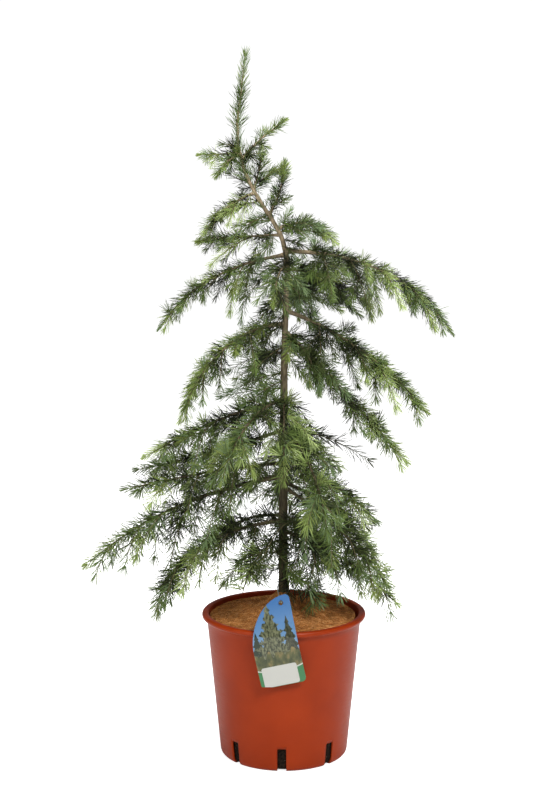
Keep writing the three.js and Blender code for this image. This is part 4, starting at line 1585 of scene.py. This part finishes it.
@dataclass
class Pot:
    """The nursery pot: a tapering moulded wall, a rolled lip and eight drainage slots."""

    height: float = 265.0
    lip_radius: float = 150.0
    lip_depth: float = 10.0
    lip_proud: float = 9.0
    lip_round: float = 4.6
    base_radius: float = 117.0
    foot_round: float = 8.0
    wall: float = 3.5
    floor: float = 4.0
    sides: int = 144
    slots: int = 8
    slot_turn: float = -1.8
    slot_width: float = 16.0
    slot_height: float = 44.0
    slot_depth: float = 62.0
    slot_below: float = 4.0
    slot_round: float = 2.2

    def _outline(self) -> list[Pair]:
        """The wall's closed outline, as radius and height in mm, from the outside of the foot.

        Returns:
            Its corners.
        """
        base, under = self.base_radius, self.height - self.lip_depth
        top = self.lip_radius - self.lip_proud
        round_foot, round_lip = self.foot_round, self.lip_round
        outline = [(0.0, 0.0), (base - 14, 0.0), (base - round_foot, 0.0)]
        for angle in map(math.radians, range(20, 100, 20)):
            outline.append((base - round_foot + round_foot * math.sin(angle),
                            round_foot - round_foot * math.cos(angle)))
        for height in (16, 30, 38, 50, 62, 100, 150, 200, under - 14, under - 2.4):
            outline.append((blend(base, top, (height - 7) / (under - 7)), height))
        outline += [(top + 0.9, under - 0.7), (top + 3.2, under),
                    (self.lip_radius - 3.0, under + 0.4)]
        for angle in map(math.radians, range(-60, 91, 30)):
            outline.append((self.lip_radius - round_lip + round_lip * math.cos(angle),
                            self.height - 5.0 + 5.0 * math.sin(angle)))
        top, base = top - self.wall, base - self.wall
        return outline + [(top + 2.6, self.height - 0.2), (top + 0.6, self.height - 1.4),
                          (top, self.height - 4.0), (base + 0.9, self.floor + 8),
                          (base - 3, self.floor + 1), (self.base_radius - 14, self.floor),
                          (0.0, self.floor)]

    def build(self) -> None:
        """Spins the wall, cuts its slots and dresses it."""
        bm = spun_bmesh(self._outline(), self.sides)
        bmesh.ops.recalc_face_normals(bm, faces=bm.faces)
        shell = bmesh_object("pot_shell", bm, smooth_angle=35.0)
        cutter = self._cutter()
        cut = shell.modifiers.new("slots", "BOOLEAN")
        cut.object = cutter
        cut.solver = "EXACT"
        graph = bpy.context.evaluated_depsgraph_get()
        mesh = bpy.data.meshes.new_from_object(shell.evaluated_get(graph))
        for spare in (shell, cutter):
            bpy.data.meshes.remove(spare.data)
        settle(mesh_object("pot_wall", mesh, PotFinish().material()), Slot.POT, "pot")

    def _cutter(self) -> Object:
        """The slots' shape: upright blocks with slightly round upper corners.

        Returns:
            The new object.
        """
        bm = bmesh.new()
        size = Vector((self.slot_depth, self.slot_width, self.slot_height + self.slot_below)) * MM
        spot = Vector((self.base_radius + 2.0, 0.0, (self.slot_height - self.slot_below) / 2)) * MM
        for i in range(self.slots):
            block = bmesh.ops.create_cube(bm, size=1.0)["verts"]
            bmesh.ops.scale(bm, vec=size, verts=block)
            bmesh.ops.translate(bm, vec=spot, verts=block)
            corners = dict.fromkeys(edge for vert in block for edge in vert.link_edges
                                    if all(end.co.z > spot.z for end in edge.verts)
                                    and abs(edge.verts[0].co.x - edge.verts[1].co.x) > size.x / 2)
            rounded = bmesh.ops.bevel(bm, geom=list(corners), offset=self.slot_round * MM, segments=4,
                                      profile=0.5, affect="EDGES", material=-1)
            block = list(dict.fromkeys([*(vert for vert in block if vert.is_valid), *rounded["verts"]]))
            turn = math.radians(self.slot_turn - 90 + 360 / self.slots * i)
            bmesh.ops.rotate(bm, cent=(0, 0, 0), matrix=Matrix.Rotation(turn, 3, "Z"), verts=block)
        bmesh.ops.recalc_face_normals(bm, faces=bm.faces)
        return bmesh_object("slot_cutter", bm)


@dataclass
class FeltDisc:
    """The coir felt on the soil: gathered up in folds round the trunk, with loose fibres.

    Sizes are in mm. The corners of its top are spun at the height unlaid and then laid on the surface.
    """

    floor: float = 245.3
    radius: float = 133.0
    hole: float = 10.2
    peak: float = 56.0
    thick: float = 12.0
    shift: float = -2.0
    folds: int = 7
    fold_depth: float = 2.4
    pleats: int = 13
    pleat_depth: float = 1.6
    unlaid: float = 300.0
    sides: int = 160
    fibres: int = 5200
    fibre_steps: int = 4
    fibre_length: Pair = (7, 22)
    fibre_radius: float = 0.2
    straws: tuple[tuple[str, Triple, float], ...] = (
        ("dark", (0.25, 0.095, 0.025), 0.4), ("brown", (0.56, 0.240, 0.068), 0.42),
        ("straw", (0.80, 0.440, 0.170), 0.18))
    seed: int = 51

    def _surface(self, radius: np.ndarray, turn: np.ndarray) -> np.ndarray:
        """The height of the felt's top, with its folds and, near the trunk, its pleats.

        Args:
            radius: How far from the axis each place is, in mm.
            turn: Its turn about the axis, in radians.

        Returns:
            The heights, in mm.
        """
        marks = (self.hole, self.radius * 0.24, self.radius * 0.45, self.radius * 0.75, self.radius)
        rises = (self.peak, self.thick + 22, self.thick + 9, self.thick + 2, self.thick)
        height = np.interp(radius, marks, rises)
        fade = np.sin(np.pi * np.clip((radius - 22) / (self.radius - 20), 0, 1))
        height += fade * self.fold_depth * np.cos(self.folds * turn + 1)
        closeness = np.clip(1 - np.abs(radius - 30) / 26, 0, 1)
        height += closeness * self.pleat_depth * np.cos(self.pleats * turn + 0.06 * radius)
        return self.floor + height

    def build(self) -> None:
        """Makes the disc and its fibres."""
        radii = np.concatenate((np.geomspace(self.hole, 60, 16), np.linspace(64, self.radius, 20)))
        outline = [(self.hole, self.floor + 8), *((radius, self.unlaid) for radius in radii),
                   (self.radius + 0.4, self.floor + 4), (self.radius - 0.6, self.floor),
                   (18, self.floor)]
        bm = spun_bmesh(outline, self.sides, closed=True)
        for vert in bm.verts:
            if vert.co.z > (self.unlaid - 0.5) * MM:
                vert.co.z = self._top(vert.co)
            vert.co.x += self.shift * MM
        bmesh.ops.recalc_face_normals(bm, faces=bm.faces)
        piece = bmesh_object("felt_disc", bm, FeltFinish().material(), smooth_angle=50.0)
        settle(piece, Slot.FELT, "mulch_disc")
        self._fibres()

    def _top(self, spot: Vector) -> float:
        """The height in metres of the felt's uneven top at a place.

        Args:
            spot: The place, in metres.

        Returns:
            The height, in metres.
        """
        radius, turn = math.hypot(spot.x, spot.y) * 1000, math.atan2(spot.y, spot.x)
        point = Vector((spot.x, spot.y, 0)) * 1000
        lumps = sum(size * noise.noise(point * scale)
                    for size, scale in ((0.9, 0.09), (0.5, 0.3), (0.25, 1)))
        return (float(self._surface(np.array(radius), np.array(turn))) + lumps) * MM

    def _fibres(self) -> None:
        """Loose curved fibres that lie on the felt, as one piece."""
        random = np.random.default_rng(self.seed)
        count, steps = self.fibres, self.fibre_steps
        radius = np.sqrt(random.uniform(15**2, (self.radius - 3) ** 2, count))
        turn = random.uniform(0, TURN, count)
        heading = random.uniform(0, TURN, count)
        curl = random.normal(0, 0.8, count)
        length = random.uniform(*self.fibre_length, count)
        spots = np.stack((radius * np.cos(turn), radius * np.sin(turn)), 1)
        rings = []
        for i in range(steps + 1):
            reach = np.clip(np.hypot(spots[:, 0], spots[:, 1]), 14, self.radius - 1)
            angle = np.arctan2(spots[:, 1], spots[:, 0])
            lift = 0.35 + 1.5 * np.sin(math.pi * i / steps) * random.uniform(0, 0.8, count)
            rings.append(np.stack((reach * np.cos(angle) + self.shift, reach * np.sin(angle),
                                   self._surface(reach, angle) + lift), 1))
            spots = spots + np.stack((np.cos(heading), np.sin(heading)), 1) * (length / steps)[:, None]
            heading = heading + curl / steps
        line = np.stack(rings, axis=1)
        side, lift = square_pair(unit(np.gradient(line, axis=1)))
        corners = [line + around(side, lift, TURN * k / 3) * self.fibre_radius for k in range(3)]
        points = np.stack(corners, axis=2).reshape(-1, 3) * MM
        top = 3 * steps
        pattern = np.vstack((tube_faces(steps, 3), ((0, 2, 1), (top, top + 1, top + 2))))
        straws = [PlainFinish(f"fibre_{name}", colour, 0.8, 0.2).material()
                  for name, colour, _ in self.straws]
        odds = [share for *_, share in self.straws]
        tint = np.repeat(random.choice(len(straws), count, p=odds), len(pattern))
        triangles = repeated(pattern, top + 3, count)
        settle(array_object("felt_fibres", points, triangles, straws, tint), Slot.FELT)


@dataclass(frozen=True)
class Furnishings:
    """The CAD nodes that keep their own shape: soil, label and tie."""

    soil: Finish = CompostFinish()
    label: PrintedCard = PrintedCard()
    label_tie: Finish = SoftPlastic()

    def dress(self) -> None:
        """Gives each its finish."""
        for node, finish in vars(self).items():
            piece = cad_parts[node]
            piece.data.materials.clear()
            piece.data.materials.append(finish.material())
            LOG.info("%s keeps its own shape", node)


@dataclass
class Studio:
    """The floor, the lights and the camera."""

    image: tuple[int, int] = (533, 800)
    camera_place: Triple = (0.0, -2.75, 1.038)
    camera_pitch: float = 7.94
    focal_pixels: float = 1542.0
    centre_pixel: float = 283.8
    sensor: float = 36.0
    aim: Triple = (0, 0, 0.7)
    soft: float = 0.28
    bright: float = 1.05
    floor_glow: float = 0.8
    floor_radius: float = 24.0
    floor_drop: float = 0.0002

    def build(self) -> None:
        """Sets up the studio."""
        self._camera()
        self._world()
        self._floor()
        self._light("key_light", (1.3, -2.4, 3.0), 1.0, 120.0)
        self._light("fill_light", (-2.4, -2.1, 1.9), 1.6, 40.0)
        self._light("top_light", (0.2, 0.3, 3.4), 1.4, 85.0)
        scene = bpy.context.scene
        scene.view_settings.view_transform = "Standard"
        scene.view_settings.look = "None"

    def _place(self, name: str, data: bpy.types.ID, place: Triple) -> Object:
        """Puts a lamp or a camera in the scene.

        Args:
            name: Its name.
            data: The lamp or the camera.
            place: Where it is, in metres.

        Returns:
            The new object.
        """
        thing = bpy.data.objects.new(name, data)
        thing.location = place
        bpy.context.scene.collection.objects.link(thing)
        return thing

    def _camera(self) -> None:
        """The camera at the photograph's viewing angle."""
        data = bpy.data.cameras.new("photo_camera")
        width, height = self.image
        data.sensor_width = self.sensor
        data.lens = self.focal_pixels / height * self.sensor
        data.shift_x = (width / 2 - self.centre_pixel) / height
        data.clip_end = 60.0
        camera = self._place("photo_camera", data, self.camera_place)
        camera.rotation_euler = (math.radians(90 - self.camera_pitch), 0, 0)
        bpy.context.scene.camera = camera

    def _world(self) -> None:
        """A white studio all round: bright to look at, softer as light."""
        world = bpy.data.worlds.new("studio")
        world.use_nodes = True
        nodes, links = world.node_tree.nodes, world.node_tree.links
        mix = nodes.new("ShaderNodeMixShader")
        sources = (nodes["Background"], nodes.new("ShaderNodeBackground"))
        for i, (source, strength) in enumerate(zip(sources, (self.soft, self.bright)), 1):
            source.inputs["Color"].default_value = (1.0, 1.0, 1.0, 1)
            source.inputs["Strength"].default_value = strength
            links.new(source.outputs[0], mix.inputs[i])
        links.new(nodes.new("ShaderNodeLightPath").outputs["Is Camera Ray"], mix.inputs[0])
        links.new(mix.outputs[0], nodes["World Output"].inputs["Surface"])
        bpy.context.scene.world = world

    def _floor(self) -> None:
        """A pale floor that runs out to the background."""
        bm = bmesh.new()
        bmesh.ops.create_circle(bm, cap_ends=True, segments=96, radius=self.floor_radius)
        wiring = Wiring("studio_floor", 0.85, 0.1)
        patches = wiring.mottle(wiring.place(), 2.0, 2.0)
        colour = wiring.ramp(patches, (0.0, (0.90, 0.90, 0.90)), (1.0, (0.93, 0.93, 0.93)))
        wiring.shader.inputs["Emission Color"].default_value = (1, 1, 1, 1)
        path = wiring.nodes.new("ShaderNodeLightPath")
        glow = wiring.math("MULTIPLY", path.outputs["Is Camera Ray"], self.floor_glow)
        wiring.links.new(glow, wiring.shader.inputs["Emission Strength"])
        floor = bmesh_object("studio_floor", bm, wiring.finish(colour))
        floor.location.z = -self.floor_drop
        floor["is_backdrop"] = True

    def _light(self, name: str, place: Triple, size: float, power: float) -> None:
        """A large soft light that faces the crown's middle.

        Args:
            name: Its name.
            place: Where it hangs, in metres.
            size: Its width, in metres.
            power: Its power, in watts.
        """
        data = bpy.data.lights.new(name, "AREA")
        data.shape = "DISK"
        data.size = size
        data.energy = power
        lamp = self._place(name, data, place)
        lamp.rotation_euler = (Vector(self.aim) - Vector(place)).to_track_quat("-Z", "Y").to_euler()


def main() -> None:
    """Builds the tree, its pot and the studio, and logs the counts of twigs and faces."""
    logging.basicConfig(level=logging.INFO, format="%(name)s: %(message)s")
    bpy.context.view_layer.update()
    Studio().build()
    growth = Growth()
    growth.grow()
    LOG.info("%d twigs on %d branches", len(growth.twigs), len(growth.limbs))
    Crown(growth).build()
    Woodwork(growth).build(BarkFinish().material())
    Pot().build()
    FeltDisc().build()
    Furnishings().dress()
    bpy.context.view_layer.update()


if __name__ == "__main__":
    main()
